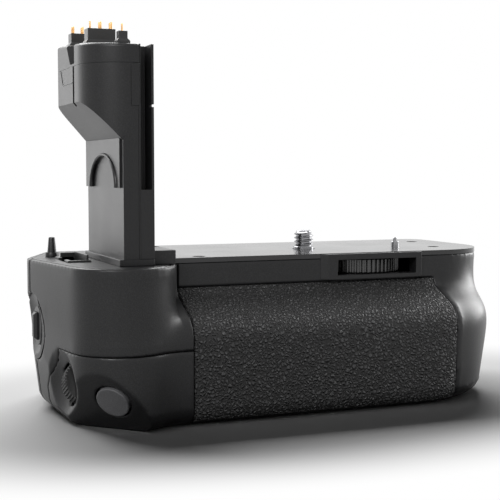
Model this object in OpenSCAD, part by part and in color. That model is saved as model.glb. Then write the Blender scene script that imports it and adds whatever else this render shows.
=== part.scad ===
// Camera battery grip: a base that holds two battery packs under a camera, with a contact stalk
// for the camera's battery chamber, a stud turned by a thumbwheel, and a second set of controls.
// Millimetres. -Y is the front, +X the right end seen from the front, +Z up.
// The origin is the middle of the footprint, on the surface that the grip stands on.

/* [Body] */
// Width along X
body_w = 152; // [148:1:158]
// Depth from the hand bulge to the back of the lock knob
body_d = 76; // [75:0.5:79]
// Wall of the housings
wall = 3; // [2.8:0.1:3.2]
// Floor of the housings
floor_t = 2.5; // [2.3:0.1:2.8]
// Thickness of the deck plate
deck_t = 1.5; // [1.2:0.1:1.8]
// Drop of the left cap below the deck
cap_drop = 1; // [0.8:0.1:1.4]
// Thickness of the left cap
cap_t = 1.8; // [1.5:0.1:2.2]
// Width of the rim around the left cap
rim_w = 1.6; // [1.3:0.1:2]
// How far the front band is set back from the hand bulge
band_set = 19.7; // [19:0.1:20.4]
// Radius of the front right corner of the deck
corner_fr = 21; // [18:0.5:23]
// Radius of the rear right corner
corner_br = 5; // [3:0.5:6]
// Radius of the rear left corner
corner_bl = 6; // [5:0.25:7]
// Distance of the joint between front and rear housings from the back plane
part_back = 30; // [29:0.5:31]
// Gap between lids and the rims they lie in
lid_gap = 0.1; // [0.05:0.05:0.2]

/* [Hand bulge] */
// Radius of the hand bulge in plan
hand_r = 15.5; // [15:0.25:16]
// Distance of the bulge centre from the left end
hand_in = 21; // [20.5:0.25:21.5]
// Distance of the widest point of the left end from the back plane
side_back = 28.5; // [27.5:0.5:29.5]
// Radius of the left end at its widest point
side_r = 14; // [13:0.5:15]
// Lean of the left end behind its widest point in degrees
side_lean = 24; // [22:0.5:26]
// How far the left end draws in at its foot
side_taper = 3.4; // [3:0.1:3.8]
// Height where the left end starts to draw in
taper_z = 32; // [30:0.5:34]
// Radius of the left end's foot edge
side_foot = 7; // [6:0.25:8]
// Radius of the hand bulge's foot edge
hand_foot = 5; // [4.5:0.25:5.5]
// Distance from the rubber to the end of the blend between bulge and front
blend_in = 1.5; // [1.2:0.1:1.8]
// Height of the seam over the control corner
corner_z = 22; // [21.5:0.25:22.5]
// Reach of the control corner along the left end at its top, behind the bulge centre
corner_reach = 8.5; // [8:0.25:9]
// Further reach of the control corner at its bottom
corner_lean = 11.5; // [11:0.25:12]
// Height where the rear edge of the control corner turns upright
corner_turn = 9; // [8.5:0.25:9.5]

/* [Front grip] */
// How far the rubber is set back from the hand bulge
grip_set = 4.5; // [4:0.25:5]
// Radius of the right corner of the grip in plan
grip_corner = 30; // [27:0.5:32]
// Height of the centre of the shoulder curve
shoulder_z = 24.5; // [24:0.25:25]
// Radius of the shoulder curve
shoulder_r = 8; // [7.5:0.25:8.5]
// Slope of the shoulder in degrees
shoulder_a = 25; // [23:0.5:27]
// Radius of the hollow under the band
hollow_r = 4; // [3.5:0.25:4.5]
// Radius of the front foot edge
foot_r = 5; // [4.5:0.25:5.5]
// Thickness of the rubber
rubber_t = 1.4; // [1.2:0.1:1.5]
// Distance of the rubber from the left end
rubber_left = 39.3; // [38.9:0.1:39.8]
// Distance of the rubber from the right end
rubber_right = 25; // [24.5:0.25:25.5]
// Height of the lower edge of the rubber
rubber_z = 1.2; // [1:0.1:1.6]
// Drop of the top edge of the rubber below the hollow's end
rubber_drop = 0.6; // [0.5:0.1:0.8]
// How far the right end draws in at its foot
end_taper = 4.5; // [4:0.25:5]
// How far the right end draws in at its waist
end_waist = 2; // [1.5:0.25:2.5]

/* [Battery packs] */
// Distance of the bay from the left end
bay_left = 21.9; // [21.6:0.1:22.5]
// Distance of the bay's front from the hand bulge
bay_front = 27.65; // [27.5:0.05:28]
// Thickness of one pack
pack_t = 21; // [20.6:0.2:21.4]
// Room around a pack
pack_gap = 0.4; // [0.3:0.1:0.6]
// Wall of the tray
tray_wall = 1.4; // [1.2:0.1:1.6]
// Gap between the tray and its bay
tray_gap = 0.35; // [0.3:0.05:0.45]
// Wall of the bay
bay_wall = 1.5; // [1.3:0.1:1.7]
// Thickness of the panel that closes the bay
panel_t = 3; // [2.8:0.1:3.2]
// Gap around the panel
panel_gap = 0.3; // [0.3:0.05:0.4]
// Distance of the bay from the right end
bay_right = 7; // [6.8:0.1:7.4]
// Length that the lock knob stands proud of the panel
knob_proud = 1.5; // [1.3:0.1:1.8]
// Radius of the lock knob
knob_r = 8; // [7.5:0.25:8.5]
// Width of the lock knob's finger bar
knob_bar = 3; // [2.6:0.1:3.4]
// Radius of the lock knob's spindle
knob_pin_r = 2; // [1.8:0.1:2.2]

/* [Stud and thumbwheel] */
// Stud axis along X
stud_x = 14.5; // [14:0.25:15]
// Stud axis along Y
stud_y = 4; // [3.5:0.25:4.5]
// Crest radius of the stud's thread
stud_r = 3.175; // [3:0.025:3.2]
// Root radius of the stud's thread
stud_root = 2.55; // [2.45:0.05:2.6]
// Pitch of the stud's thread
stud_pitch = 1.27; // [1.2:0.01:1.3]
// Number of thread ridges on the stud
stud_turns = 4; // [3:1:4]
// Radius of the stud's plain shaft
shaft_r = 2.4; // [2.2:0.05:2.5]
// Radius of the wheel axle
axle_r = 2; // [1.8:0.05:2.2]
// Running clearance of shafts in their bores
run_gap = 0.05; // [0.03:0.01:0.08]
// Thickness of the thumbwheel
wheel_t = 4; // [3.6:0.1:4.2]
// Number of ribs on the thumbwheel
wheel_ribs = 54; // [45:1:60]
// Depth of the thumbwheel's ribs
wheel_rib = 0.8; // [0.6:0.1:1]
// How far the thumbwheel stands behind the face of its frame
wheel_set = 1.5; // [1.3:0.1:1.8]
// Tooth size of the gears
gear_m = 1; // [0.98:0.01:1.02]
// Teeth on the thumbwheel's gear
wheel_teeth = 18; // [17:1:18]
// Teeth on the stud's gear
stud_teeth = 16; // [15:1:17]
// Thickness of the gears
gear_t = 3.4; // [3:0.1:3.8]
// Thickness of the chassis plate
chassis_t = 2; // [1.6:0.1:2.4]
// Width of the wheel window
window_w = 28; // [27:0.25:28.5]
// Thickness of the wheel frame in front of the band
frame_proud = 1.5; // [1.3:0.1:1.7]

/* [Mounts] */
// Radius of the tripod thread's bore
socket_r = 3.175; // [3:0.025:3.3]
// Height of the tripod bush
socket_h = 6.3; // [6:0.1:6.6]
// Radius of the locating pin
pin_r = 1.3; // [1.2:0.05:1.4]
// Length of the locating pin's body above the deck
pin_h = 2.2; // [2:0.1:2.5]
// Locating pin along X
pin_x = 44.9; // [44:0.25:46]
// Locating pin along Y
pin_y = -3.2; // [-4:0.25:-2.5]
// Guide peg's distance from the left end
peg_in = 8.5; // [8:0.25:9]
// Guide peg along Y
peg_y = 13.3; // [12.5:0.25:14]
// Height of the guide peg above its collar
peg_h = 4; // [3.5:0.25:4.5]

/* [Controls] */
// Radius of the shutter button
button_r = 5.2; // [5:0.1:5.4]
// Travel of the shutter button
button_travel = 1.2; // [1:0.1:1.4]
// Tilt of the slanted facet that carries the shutter button
facet_a = 30; // [28:0.5:32]
// Distance of the slanted facet from the bulge centre at the button's height
button_out = 10.7; // [10.5:0.05:10.9]
// Shift of the shutter button along the facet towards the front
button_side = 3; // [2.7:0.05:3.2]
// Height of the shutter button
button_z = 9; // [8.75:0.05:9.25]
// Side clearance of buttons in their holes
button_gap = 0.3; // [0.25:0.05:0.35]
// Radius of the control dial
dial_r = 7.2; // [7:0.05:7.3]
// Width of the control dial
dial_w = 5; // [4.6:0.1:5.2]
// Number of ribs on the control dial
dial_ribs = 24; // [20:1:28]
// Height of the control dial's axle
dial_z = 12; // [11.75:0.05:12.25]
// Distance of the control dial's axle from the left end
dial_in = 12.2; // [12:0.05:12.4]
// Distance of the control dial behind the bulge centre
dial_back = 6; // [5.8:0.05:6.2]
// Lean of the control dial's plane in degrees
dial_tilt = 25; // [23:0.5:27]
// Radius of the hollow around the dial
scoop_r = 20; // [19.5:0.25:20.5]
// Depth of the hollow around the dial
scoop_d = 3; // [2.8:0.1:3.2]
// Radius of the power dish
dish_r = 10; // [9.6:0.1:10.2]
// Height of the power knob's axis
dish_z = 26.2; // [26:0.1:26.6]
// Depth of the power dish
dish_d = 2.4; // [2.2:0.1:2.6]
// Radius of the power knob
power_r = 6; // [5.6:0.1:6.2]
// Radius of the rear buttons
rear_r = 2.8; // [2.6:0.1:3]
// Spacing of the rear buttons
rear_step = 9; // [8.5:0.1:9.2]
// Travel of the rear buttons
rear_travel = 0.7; // [0.5:0.1:0.8]

/* [Stalk] */
// Thickness of the stalk's column along X
column_t = 9; // [8.6:0.1:9.4]
// Depth of the stalk along Y
column_d = 41; // [40:0.25:42]
// Distance of the stalk's right face from the left end
column_in = 28.7; // [28.4:0.1:29]
// Distance of the stalk's front behind the hand bulge
column_set = 8; // [7.5:0.25:8.5]
// Thickness of the stalk's right half
half_t = 4.1; // [3.9:0.1:4.4]
// Wall of the stalk
stalk_wall = 1.6; // [1.4:0.1:1.7]
// Reach of the head past the column on the left
head_reach = 9.7; // [9.2:0.1:10]
// Height of the head from its underside at the column to its top
stalk_head_h = 26.7; // [25.5:0.1:27.5]
// Rise of the head's slanted underside
neck_rise = 11; // [10:0.25:12]
// Height of the stalk above the cap
stalk_h = 62; // [60:0.25:63]
// Height of the stalk's top cap at its front
crown_h = 5.3; // [5:0.1:5.6]
// Rise of the top cap from its front to its back
crown_rise = 2.4; // [2:0.1:2.8]
// Radius of the head's rounded front corner
head_r = 13; // [12:0.25:13.5]
// Radius of the head's rounded rear corner
head_back_r = 3.2; // [2.8:0.1:3.6]
// Thickness of the stalk's foot
foot_t = 1.9; // [1.7:0.1:2.2]
// Height of the contact blocks
block_h = 4.6; // [4.3:0.1:5]
// Radius of a contact pin
contact_r = 0.4; // [0.35:0.01:0.45]
// Length of a contact pin above its block
contact_h = 2.2; // [2:0.1:2.4]
// Travel of the contact pins
contact_travel = 1.2; // [1:0.1:1.4]

/* [Hidden] */
$fn = 48;
plastic = [0.16, 0.16, 0.17];
dark = [0.1, 0.1, 0.1];
metal = [0.72, 0.72, 0.74];
gold = [0.83, 0.62, 0.3];
green = [0.1, 0.3, 0.16];
steel = [0.5, 0.51, 0.53];
// Overshoot of cuts
eps = 1;

// Plan of the body
left_x = -body_w / 2;
right_x = body_w / 2;
front_y = -body_d / 2;
back_y = body_d / 2 - knob_proud;
band_y = front_y + band_set;
grip_y = front_y + grip_set;
part_y = back_y - part_back;
side_y = back_y - side_back;
hand_x = left_x + hand_in;
rear_corner_x = left_x + side_r * (1 - cos(side_lean)) + corner_bl * cos(side_lean)
    + tan(side_lean) * (back_y - side_y - (corner_bl + (side_r - corner_bl) * sin(side_lean)));
hand_y = front_y + hand_r;
cap_x = hand_x + hand_r;
rubber_x0 = left_x + rubber_left;
rubber_x1 = right_x - rubber_right;

// Heights, stacked from the floor
bay_z0 = socket_h + 0.2;
tray_z0 = bay_z0 + bay_wall + tray_gap;
tray_z1 = tray_z0 + tray_wall + pack_t + pack_gap;
bay_z1 = tray_z1 + tray_gap + bay_wall;
chassis_z = bay_z1 + chassis_t;
flange_t = 1.6;
gear_z = chassis_z + flange_t + 0.2;
wheel_z = gear_z + gear_t + 0.8;
wheel_room = 1;
deck_under = wheel_z + wheel_t + wheel_room;
deck_z = deck_under + deck_t;
cap_z = deck_z - cap_drop;

// Battery bay and tray
bay_x0 = left_x + bay_left;
bay_x1 = right_x - bay_right;
bay_y0 = front_y + bay_front;
bay_y1 = back_y - wall - panel_gap;
tray_x0 = bay_x0 + bay_wall + tray_gap;
tray_x1 = bay_x1 - bay_wall - tray_gap;
tray_y0 = bay_y0 + bay_wall + tray_gap;
tray_y1 = back_y - panel_t;
tray_l = tray_x1 - tray_x0;
tray_d = tray_y1 - tray_y0;
pack_l = (tray_l - 3 * tray_wall) / 2 - 2 * pack_gap;
pack_w = tray_d - 2 * tray_wall - 2 * pack_gap;
knob_x = tray_x0 + tray_l / 2;
knob_z = (tray_z0 + tray_z1) / 2;
tongue_t = 0.9;
tongue_w = 3;
tongue_gap = 0.15;
tongue_r = (tray_z1 - tray_z0) / 2 + panel_gap + 1.3;

// Stud and thumbwheel
gear_gap = (stud_teeth + wheel_teeth) * gear_m / 2;
free_gap = 0.4;
wheel_r = gear_gap - shaft_r - free_gap;
frame_y = band_y - frame_proud;
wheel_y = frame_y + wheel_set + wheel_r;
wheel_x = stud_x + sqrt(gear_gap * gear_gap - (stud_y - wheel_y) * (stud_y - wheel_y));
mesh_a = atan2(stud_y - wheel_y, stud_x - wheel_x);
pressure_a = 25;
tooth_thin = 0.14;
window_x0 = wheel_x - window_w / 2;
window_x1 = wheel_x + window_w / 2;
window_z0 = wheel_z - free_gap;
window_z1 = wheel_z + wheel_t + free_gap;
collar_r = stud_r + 0.2;
pin_seat_r = pin_r + 0.6;
thrust_r = stud_r + 1.4;

// Controls
facet_dir = [cos(225), sin(225), 0];
facet_side = [cos(315), sin(315), 0];
button_at = [hand_x, hand_y, button_z] + button_out * facet_dir + button_side * facet_side;
switch_depth = 8;
boss_r = button_r + 2.2;
button_rise = 0.5;
flange_w = 1;
switch_h = 2.6;
dial_x = left_x + dial_in;
dial_y = hand_y + dial_back;
scoop_x = left_x + 5 - (scoop_r - scoop_d);
scoop_wall = 1.8;
dish_y = part_y;
dish_depth_x = 5.5;
power_x = left_x + dish_depth_x;
rear_x0 = left_x + 19;
rear_z = cap_z - 7.5;
board_gap = 4.5;
board_down = 5.5;
board_up = 4.5;
board_post_r = 1.5;
key_board_t = 1.4;

// Stalk
column_x1 = left_x + column_in;
column_x0 = column_x1 - column_t;
column_y0 = front_y + column_set;
column_y1 = column_y0 + column_d;
head_x0 = column_x0 - head_reach;
split_x = column_x1 - half_t;
foot_z = cap_z + foot_t;
stalk_z = cap_z + stalk_h;
neck_z = stalk_z - stalk_head_h;
crown_z = stalk_z - crown_h;
head_floor = neck_z + neck_rise + stalk_wall;
pin_board_z = crown_z - 6;
contact_gap = 0.08;
// Sets of contact pins: middle of the set, steps along X and Y, places counted in steps,
// and the share of the full height that the block around them has
pin_sets = [
    [[head_x0 + 6, column_y1 - 3.6], [2.9, 2], [[-0.5, -0.5], [0.5, -0.5], [-0.5, 0.5], [0.5, 0.5]], 0.9],
    [[column_x0 - 1.7, column_y0 + 18], [3.15, 2], [[-1, -0.5], [0, -0.5], [1, -0.5], [0, 0.5], [1, 0.5]], 1],
    [[column_x0 + 1.3, column_y0 + 5], [0, 0], [[0, 0]], 0.76]
];
function pin_places(t) = [for (p = t[2]) t[0] + [p[0] * t[1][0], p[1] * t[1][1]]];
// Height of the top cap's rising face at y, and of the block around one set of pins
function crown_top(y) = stalk_z + crown_rise * (y - column_y0) / column_d;
function block_top(t) = crown_top(t[0][1]) + block_h * t[3];

// Points along an arc, from angle a0 to a1
function arc(c, r, a0, a1, n = 8) =
    [for (i = [0:n]) c + r * [cos(a0 + (a1 - a0) * i / n), sin(a0 + (a1 - a0) * i / n)]];

// Front of the grip seen from the right: [Y, Z] points from the floor to the deck, set in by w
shoulder_c = [grip_y + shoulder_r, shoulder_z];
slope_run = (band_y - hollow_r * (1 - sin(shoulder_a)) - shoulder_at(0)[0]) / cos(shoulder_a);
hollow_p = shoulder_at(0) + slope_run * [cos(shoulder_a), sin(shoulder_a)];
hollow_c = hollow_p + hollow_r * [cos(90 + shoulder_a), sin(90 + shoulder_a)];
slope_steps = 6;
function shoulder_at(w) = shoulder_c + (shoulder_r - w) * [cos(90 + shoulder_a), sin(90 + shoulder_a)];
function front_line(w) = concat(
    arc([grip_y + foot_r, foot_r], foot_r - w, 270, 180, 4),
    arc(shoulder_c, shoulder_r - w, 180, 90 + shoulder_a, 6),
    [for (t = [1:slope_steps - 1])
        shoulder_at(w) + slope_run * t / slope_steps * [cos(shoulder_a), sin(shoulder_a)]],
    arc(hollow_c, hollow_r + w, 270 + shoulder_a, 360, 5),
    [[band_y + w, cap_z + 2 * eps]]
);

// Share of the way from grip to band at a point of the front line
function rise(y, z, w) = z < shoulder_z ? 0 : (y - grip_y - w) / (band_y - grip_y);

// Right end at a height, set in by w: drawn in at the foot and at the waist
function end_x(z, s) = z < shoulder_z
    ? right_x - end_taper * pow((shoulder_z - z) / shoulder_z, 1.6)
    : right_x - end_waist * sin(180 * s);

// Solid through a stack of rings with equal numbers of points
module loft(rings) {
    n = len(rings[0]);
    m = len(rings);
    polyhedron(
        points = [for (r = rings) for (p = r) p],
        faces = concat(
            [[for (i = [0:n - 1]) i]],
            [[for (i = [n - 1:-1:0]) (m - 1) * n + i]],
            [for (k = [0:m - 2]) for (i = [0:n - 1]) [k * n + i, k * n + n + i, k * n + (i + 1) % n]],
            [for (k = [0:m - 2]) for (i = [0:n - 1])
                [k * n + (i + 1) % n, k * n + n + i, k * n + n + (i + 1) % n]]
        )
    );
}

// How far a foot edge of radius r is drawn in at a height
function foot_in(z, r) = z < r ? r - sqrt(r * r - pow(r - z, 2)) : 0;

// Left end from its rear corner to its widest point, at a height, set in by w
function left_side(w, z) =
    let (foot = foot_in(z, side_foot))
    let (c = [left_x + side_r + foot + side_taper * max(0, 1 - z / taper_z), side_y])
    concat(
        arc([rear_corner_x + foot, back_y - corner_bl], corner_bl - w, 90, 180 - side_lean, 6),
        arc(c, side_r - w, 180 - side_lean, 180, 4)
    );

// Radius of the hand bulge at a height, set in by w
function hand_at(w, z) = hand_r - w - foot_in(z, hand_foot);

// Hand bulge from where the left end runs into it, to angle a1
hand_a = 285;
function hand_arc(w, z, a1) =
    let (side = left_side(w, z))
    let (d = side[len(side) - 1] - [hand_x, hand_y])
    let (a0 = atan2(d[1], d[0]) + acos(hand_at(w, z) / norm(d)))
    concat(
        arc([hand_x, hand_y], hand_at(w, z), a0, hand_a, 16),
        arc([hand_x, hand_y], hand_at(w, z), hand_a + (a1 - hand_a) / 8, a1, 7)
    );

// Hollow blend between the hand bulge and the front at one point of the front line: [centre, radius, angle]
function blend(p, w) =
    let (h = hand_at(w, p[1]))
    let (d = [rubber_x0 - blend_in - hand_x, p[0] - hand_y])
    let (r = (d[0] * d[0] + d[1] * d[1] - h * h) / (2 * (h + d[1])))
    let (a = atan2(r - d[1], -d[0]))
    [[hand_x + d[0], p[0] - r], r, a < 0 ? a + 360 : a];

// Plan of the whole body at one point of the front line, set in by w
function section(p, w) =
    let (s = rise(p[0], p[1], w))
    let (r = grip_corner + (corner_fr - grip_corner) * s - w)
    let (x = end_x(p[1], s) - w - foot_in(p[1], foot_r))
    let (b = corner_br - w)
    let (f = blend(p, w))
    concat(
        left_side(w, p[1]),
        hand_arc(w, p[1], f[2] + 180),
        arc(f[0], f[1], f[2] + (90 - f[2]) / 8, 90, 7),
        arc([x - r, p[0] + r], r, -90, 0, 10),
        arc([x - b, back_y - w - b], b, 0, 90, 3)
    );

// Flat plan of the left end with its hand bulge, set in by w
module left_plan(w) {
    polygon(concat(
        [[cap_x, back_y - w]],
        left_side(w, cap_z),
        hand_arc(w, cap_z, 360),
        [[cap_x - w, band_y + w], [cap_x, band_y + w]]
    ));
}

// Whole outside of the body, set in by w
module body_loft(w) {
    loft([for (p = front_line(w)) [for (q = section(p, w)) [q[0], q[1], p[1]]]]);
}

// Whole outside of the body, set in by w, between two heights
module body_form(w, z0, z1) {
    intersection() {
        body_loft(w);
        translate([left_x - eps, front_y - eps, z0])
            cube([body_w + 2 * eps, body_d + 2 * eps, z1 - z0]);
    }
}

// Half space in front of the slanted facet, moved inwards by d
module facet_cut(d) {
    translate(button_at) rotate([0, 0, 225]) rotate([0, facet_a, 0])
        translate([-d, -body_d, -body_d]) cube(2 * body_d);
}

// Ball that hollows the wall around the dial, grown by d
module scoop(d) {
    translate([scoop_x, dial_y - 2.5, dial_z - 1]) sphere(scoop_r + d, $fn = 96);
}

// Frame of the control dial: Z is its axis and runs to the front
module at_dial() {
    translate([dial_x, dial_y, dial_z]) rotate([90 - dial_tilt, 0, 0]) children();
}

// Frame of the shutter button: Z runs outwards from the facet
module at_button() {
    translate(button_at) rotate([0, 0, 225]) rotate([0, 90 + facet_a, 0]) children();
}

// Frame of the power knob: Z runs outwards from the left end
module at_power() {
    translate([power_x, dish_y, dish_z]) rotate([0, -90, 0]) children();
}

// Frame of a rear button: Z runs outwards from the back
module at_rear(i) {
    translate([rear_x0 + i * rear_step, back_y, rear_z]) rotate([-90, 0, 0]) children();
}

// Housing walls before they are parted: one skin with a floor, open at the top
module skin() {
    difference() {
        body_form(0, 0, cap_z);
        difference() {
            body_form(wall, floor_t, cap_z + eps);
            facet_cut(wall);
            scoop(scoop_wall);
        }
        facet_cut(0);
        scoop(0);
        translate([cap_x, front_y, deck_under]) cube([body_w, body_d, eps + deck_t]);
        translate([0, 0, cap_z - cap_t]) linear_extrude(cap_t + eps) left_plan(rim_w);
        base_opening(lid_gap);
        at_power() translate([0, 0, -wall]) cylinder(r = dish_r + lid_gap, h = 3 * wall);
    }
}

// Opening in the floor for the base plate, grown by g
base_x0 = left_x + 26;
base_x1 = right_x - 14;
base_y0 = band_y + 6;
base_y1 = back_y - 7;
module base_opening(g) {
    translate([base_x0 - g, base_y0 - g, -eps])
        cube([base_x1 - base_x0 + 2 * g, base_y1 - base_y0 + 2 * g, floor_t + 2 * eps]);
}

// Space of the control corner inside the left end
module corner_space() {
    y0 = front_y - eps;
    y1 = hand_y + corner_reach;
    translate([left_x - eps, 0, 0]) rotate([90, 0, 90]) linear_extrude(rubber_left + eps)
        polygon([
            [y0, -eps], [y1 + corner_lean, -eps], [y1 + corner_lean, corner_turn],
            [y1, corner_z], [y0, corner_z]
        ]);
}

// Space in front of the parting plane, from x0 to x1
module front_space(x0, x1) {
    translate([x0, front_y - eps, -eps]) cube([x1 - x0, part_y - front_y + eps, cap_z + 2 * eps]);
}

// Space of the rubber skin
rubber_top = hollow_c[1] - rubber_drop;
module rubber_space() {
    difference() {
        translate([rubber_x0, front_y, rubber_z])
            cube([rubber_x1 - rubber_x0, band_y + wall - front_y, rubber_top - rubber_z]);
        body_loft(rubber_t);
    }
}

// Post under a deck screw, tied to the wall by a web of size w
post_r = 2.6;
post_h = 9;
screw_r = 1;
screw_head_r = 2 * screw_r;
head_h = 0.7;
head_set = 0.25;
deck_holes = [
    [right_x - 10, 22], [right_x - 16.5, -3.5], [rubber_x0 + 8, back_y - 4], [rubber_x0 + 8, band_y + 4]
];
module post(i, w) {
    p = deck_holes[i];
    translate([0, 0, deck_under - post_h]) difference() {
        union() {
            translate([p[0], p[1], 0]) cylinder(r = post_r, h = post_h);
            translate([min(p[0], p[0] + w[0]) - 0.8, min(p[1], p[1] + w[1]) - 0.8, 0])
                cube([abs(w[0]) + 1.6, abs(w[1]) + 1.6, post_h]);
        }
        translate([p[0], p[1], -eps]) cylinder(r = screw_r + run_gap, h = post_h + 2 * eps);
    }
}

module left_shell() {
    color(plastic) difference() {
        intersection() {
            skin();
            front_space(left_x - eps, rubber_x0);
        }
        corner_space();
    }
}

module control_corner() {
    color(plastic) difference() {
        union() {
            intersection() {
                skin();
                front_space(left_x - eps, rubber_x0);
                corner_space();
            }
            difference() {
                at_button() translate([0, 0, -switch_depth]) cylinder(r = boss_r, h = switch_depth);
                facet_cut(wall / 2);
            }
        }
        at_button() translate([0, 0, -wall - eps]) cylinder(r = button_r + button_gap, h = wall + 3 * eps);
        at_button() translate([0, 0, -switch_depth - eps])
            cylinder(r = button_r + flange_w + free_gap, h = switch_depth + eps - wall);
        dial_slot();
    }
}

// Slot around the dial through the wall
slot_gap = 0.5;
module dial_slot() {
    at_dial() cylinder(r = dial_r + slot_gap, h = dial_w + 2 * slot_gap, center = true);
}

module front_housing() {
    color(plastic) {
        difference() {
            intersection() {
                skin();
                front_space(rubber_x0, right_x + eps);
            }
            rubber_space();
            translate([window_x0 - 1, frame_y - eps, window_z0 - 1])
                cube([window_w + 2, wall + frame_proud + 3 * eps, window_z1 - window_z0 + 2]);
        }
        post(1, [14, 0]);
        post(3, [0, -2]);
    }
}

module rear_housing() {
    color(plastic) {
        difference() {
            intersection() {
                skin();
                translate([left_x - eps, part_y, -eps])
                    cube([body_w + 2 * eps, body_d, cap_z + 2 * eps]);
            }
            translate([tray_x0 - panel_gap, back_y - wall - eps, tray_z0 - panel_gap])
                cube([tray_l + 2 * panel_gap, wall + 2 * eps, tray_z1 - tray_z0 + 2 * panel_gap]);
            tongue_space(free_gap + 0.1);
            for (i = [0:2]) at_rear(i) translate([0, 0, -wall - eps])
                cylinder(r = rear_r + button_gap, h = wall + 2 * eps);
            translate([pad_x0, back_y - pad_t / 2, pad_z0])
                cube([pad_w, pad_t, pad_h]);
        }
        post(0, [8, 0]);
        post(2, [0, 2]);
        for (i = [0.5, 1.5])
            translate([rear_x0 + i * rear_step, back_y - wall, rear_z - board_down + board_post_r + 0.2])
                rotate([90, 0, 0]) cylinder(r = board_post_r, h = board_gap);
    }
}

module rubber_grip() {
    color(dark) intersection() {
        body_form(0, 0, cap_z);
        rubber_space();
    }
}

module top_deck() {
    color(plastic) difference() {
        translate([0, 0, deck_under]) linear_extrude(deck_t) intersection() {
            polygon(section([band_y, cap_z], 0));
            translate([cap_x + lid_gap, front_y]) square([body_w, body_d]);
        }
        translate([stud_x, stud_y, 0]) cylinder(r = collar_r + free_gap, h = 2 * deck_z);
        translate([pin_x, pin_y, 0]) cylinder(r = pin_seat_r + run_gap, h = 2 * deck_z);
        for (p = deck_holes) translate([p[0], p[1], 0]) {
            cylinder(r = screw_r + run_gap, h = 2 * deck_z);
            translate([0, 0, deck_z - head_set - head_h]) cylinder(r = screw_head_r + run_gap, h = deck_t);
        }
    }
}

// Slot of the door holder in the cap
clip_w = 7;
clip_l = 18;
clip_h = 7;
clip_x = column_x0 - 4.6 - clip_w;
clip_y = column_y0 + 19;

module left_cap() {
    color(plastic) difference() {
        translate([0, 0, cap_z - cap_t]) linear_extrude(cap_t) left_plan(rim_w + lid_gap);
        translate([clip_x - lid_gap, clip_y - lid_gap, 0])
            cube([clip_w + 2 * lid_gap, clip_l + 2 * lid_gap, 2 * cap_z]);
        translate([split_x - cable_room, column_y0 + stalk_wall, 0])
            cube([2 * cable_room, column_d - 2 * stalk_wall, 2 * cap_z]);
        translate([left_x + peg_in, peg_y, 0]) cylinder(r = peg_r + run_gap, h = 2 * cap_z);
    }
}

base_boss_r = 3.5;
base_holes = [for (x = [base_x0 + 5, base_x1 - 5]) for (y = [base_y0 + 5, base_y1 - 5]) [x, y]];
module base_plate() {
    color(plastic) difference() {
        union() {
            translate([base_x0, base_y0, 0]) cube([base_x1 - base_x0, base_y1 - base_y0, floor_t]);
            for (p = base_holes) translate([p[0], p[1], 0]) cylinder(r = base_boss_r, h = bay_z0);
        }
        translate([stud_x, stud_y, -eps]) cylinder(r = bush_r + run_gap, h = floor_t + 2 * eps);
        for (p = base_holes) translate([p[0], p[1], -eps]) {
            cylinder(r = screw_r + run_gap, h = bay_z0 + 2 * eps);
            cylinder(r = screw_head_r + run_gap, h = eps + head_set + head_h);
        }
    }
}

// Cross-slotted screw standing on its head, with a shank of length l
module screw(l) {
    color(steel) difference() {
        union() {
            cylinder(r = screw_head_r, h = head_h);
            cylinder(r = screw_r, h = head_h + l);
        }
        for (a = [0, 90]) rotate([0, 0, a])
            translate([-0.6 * screw_head_r, -0.2 * screw_r, -eps])
                cube([1.2 * screw_head_r, 0.4 * screw_r, eps + head_h / 2]);
    }
}

module base_screws() {
    for (p = base_holes) translate([p[0], p[1], head_set]) screw(bay_z0 - head_set - head_h - 0.4);
}

module deck_screws() {
    for (p = deck_holes) translate([p[0], p[1], deck_z - head_set]) rotate([180, 0, 0]) screw(post_h / 2);
}

bush_r = 6;
module tripod_bush() {
    color(metal) translate([stud_x, stud_y, 0]) difference() {
        union() {
            cylinder(r = bush_r, h = floor_t);
            translate([0, 0, floor_t]) cylinder(r = bush_r + 2, h = socket_h - floor_t);
        }
        translate([0, 0, -eps]) cylinder(r = socket_r, h = socket_h - 0.8 + eps);
    }
}

module wheel_frame() {
    bar = 1.3;
    left = 5.5;
    right = 3;
    tuck = 0.9;
    z0 = window_z0 - bar;
    color(plastic) difference() {
        union() {
            translate([0, 0, z0]) linear_extrude(deck_z - 2 * lid_gap - z0) polygon([
                [window_x0 - left, band_y], [window_x0 - left + 2.4, frame_y],
                [window_x1 + right - 1, frame_y], [window_x1 + right, band_y]
            ]);
            translate([window_x0 - tuck, band_y, window_z0 - tuck])
                cube([window_w + 2 * tuck, wall, window_z1 - window_z0 + 1.5 * tuck]);
        }
        translate([window_x0, frame_y - eps, window_z0])
            cube([window_w, wall + frame_proud + 2 * eps, window_z1 - window_z0]);
        translate([wheel_x, wheel_y, window_z0]) cylinder(r = wheel_r + free_gap, h = window_z1 - window_z0);
    }
}

module battery_bay() {
    nip = 2;
    color(dark) difference() {
        union() {
            translate([0, 0, bay_z0]) linear_extrude(bay_z1 - bay_z0) polygon([
                [bay_x0, bay_y0], [bay_x1 - nip, bay_y0], [bay_x1, bay_y0 + nip],
                [bay_x1, bay_y1], [bay_x0, bay_y1]
            ]);
            for (p = board_feet) translate([p[0], p[1], bay_z1]) cylinder(r = 1.6, h = standoff);
        }
        translate([tray_x0 - tray_gap, tray_y0 - tray_gap, tray_z0 - tray_gap])
            cube([tray_l + 2 * tray_gap, body_d, tray_z1 - tray_z0 + 2 * tray_gap]);
    }
}

module bay_contacts() {
    color(gold) for (i = [0:3])
        translate([tray_x0 - tray_gap, tray_y0 + 8 + 5 * i, knob_z - 3])
            cube([tray_gap / 2, 2, 6]);
}

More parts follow.
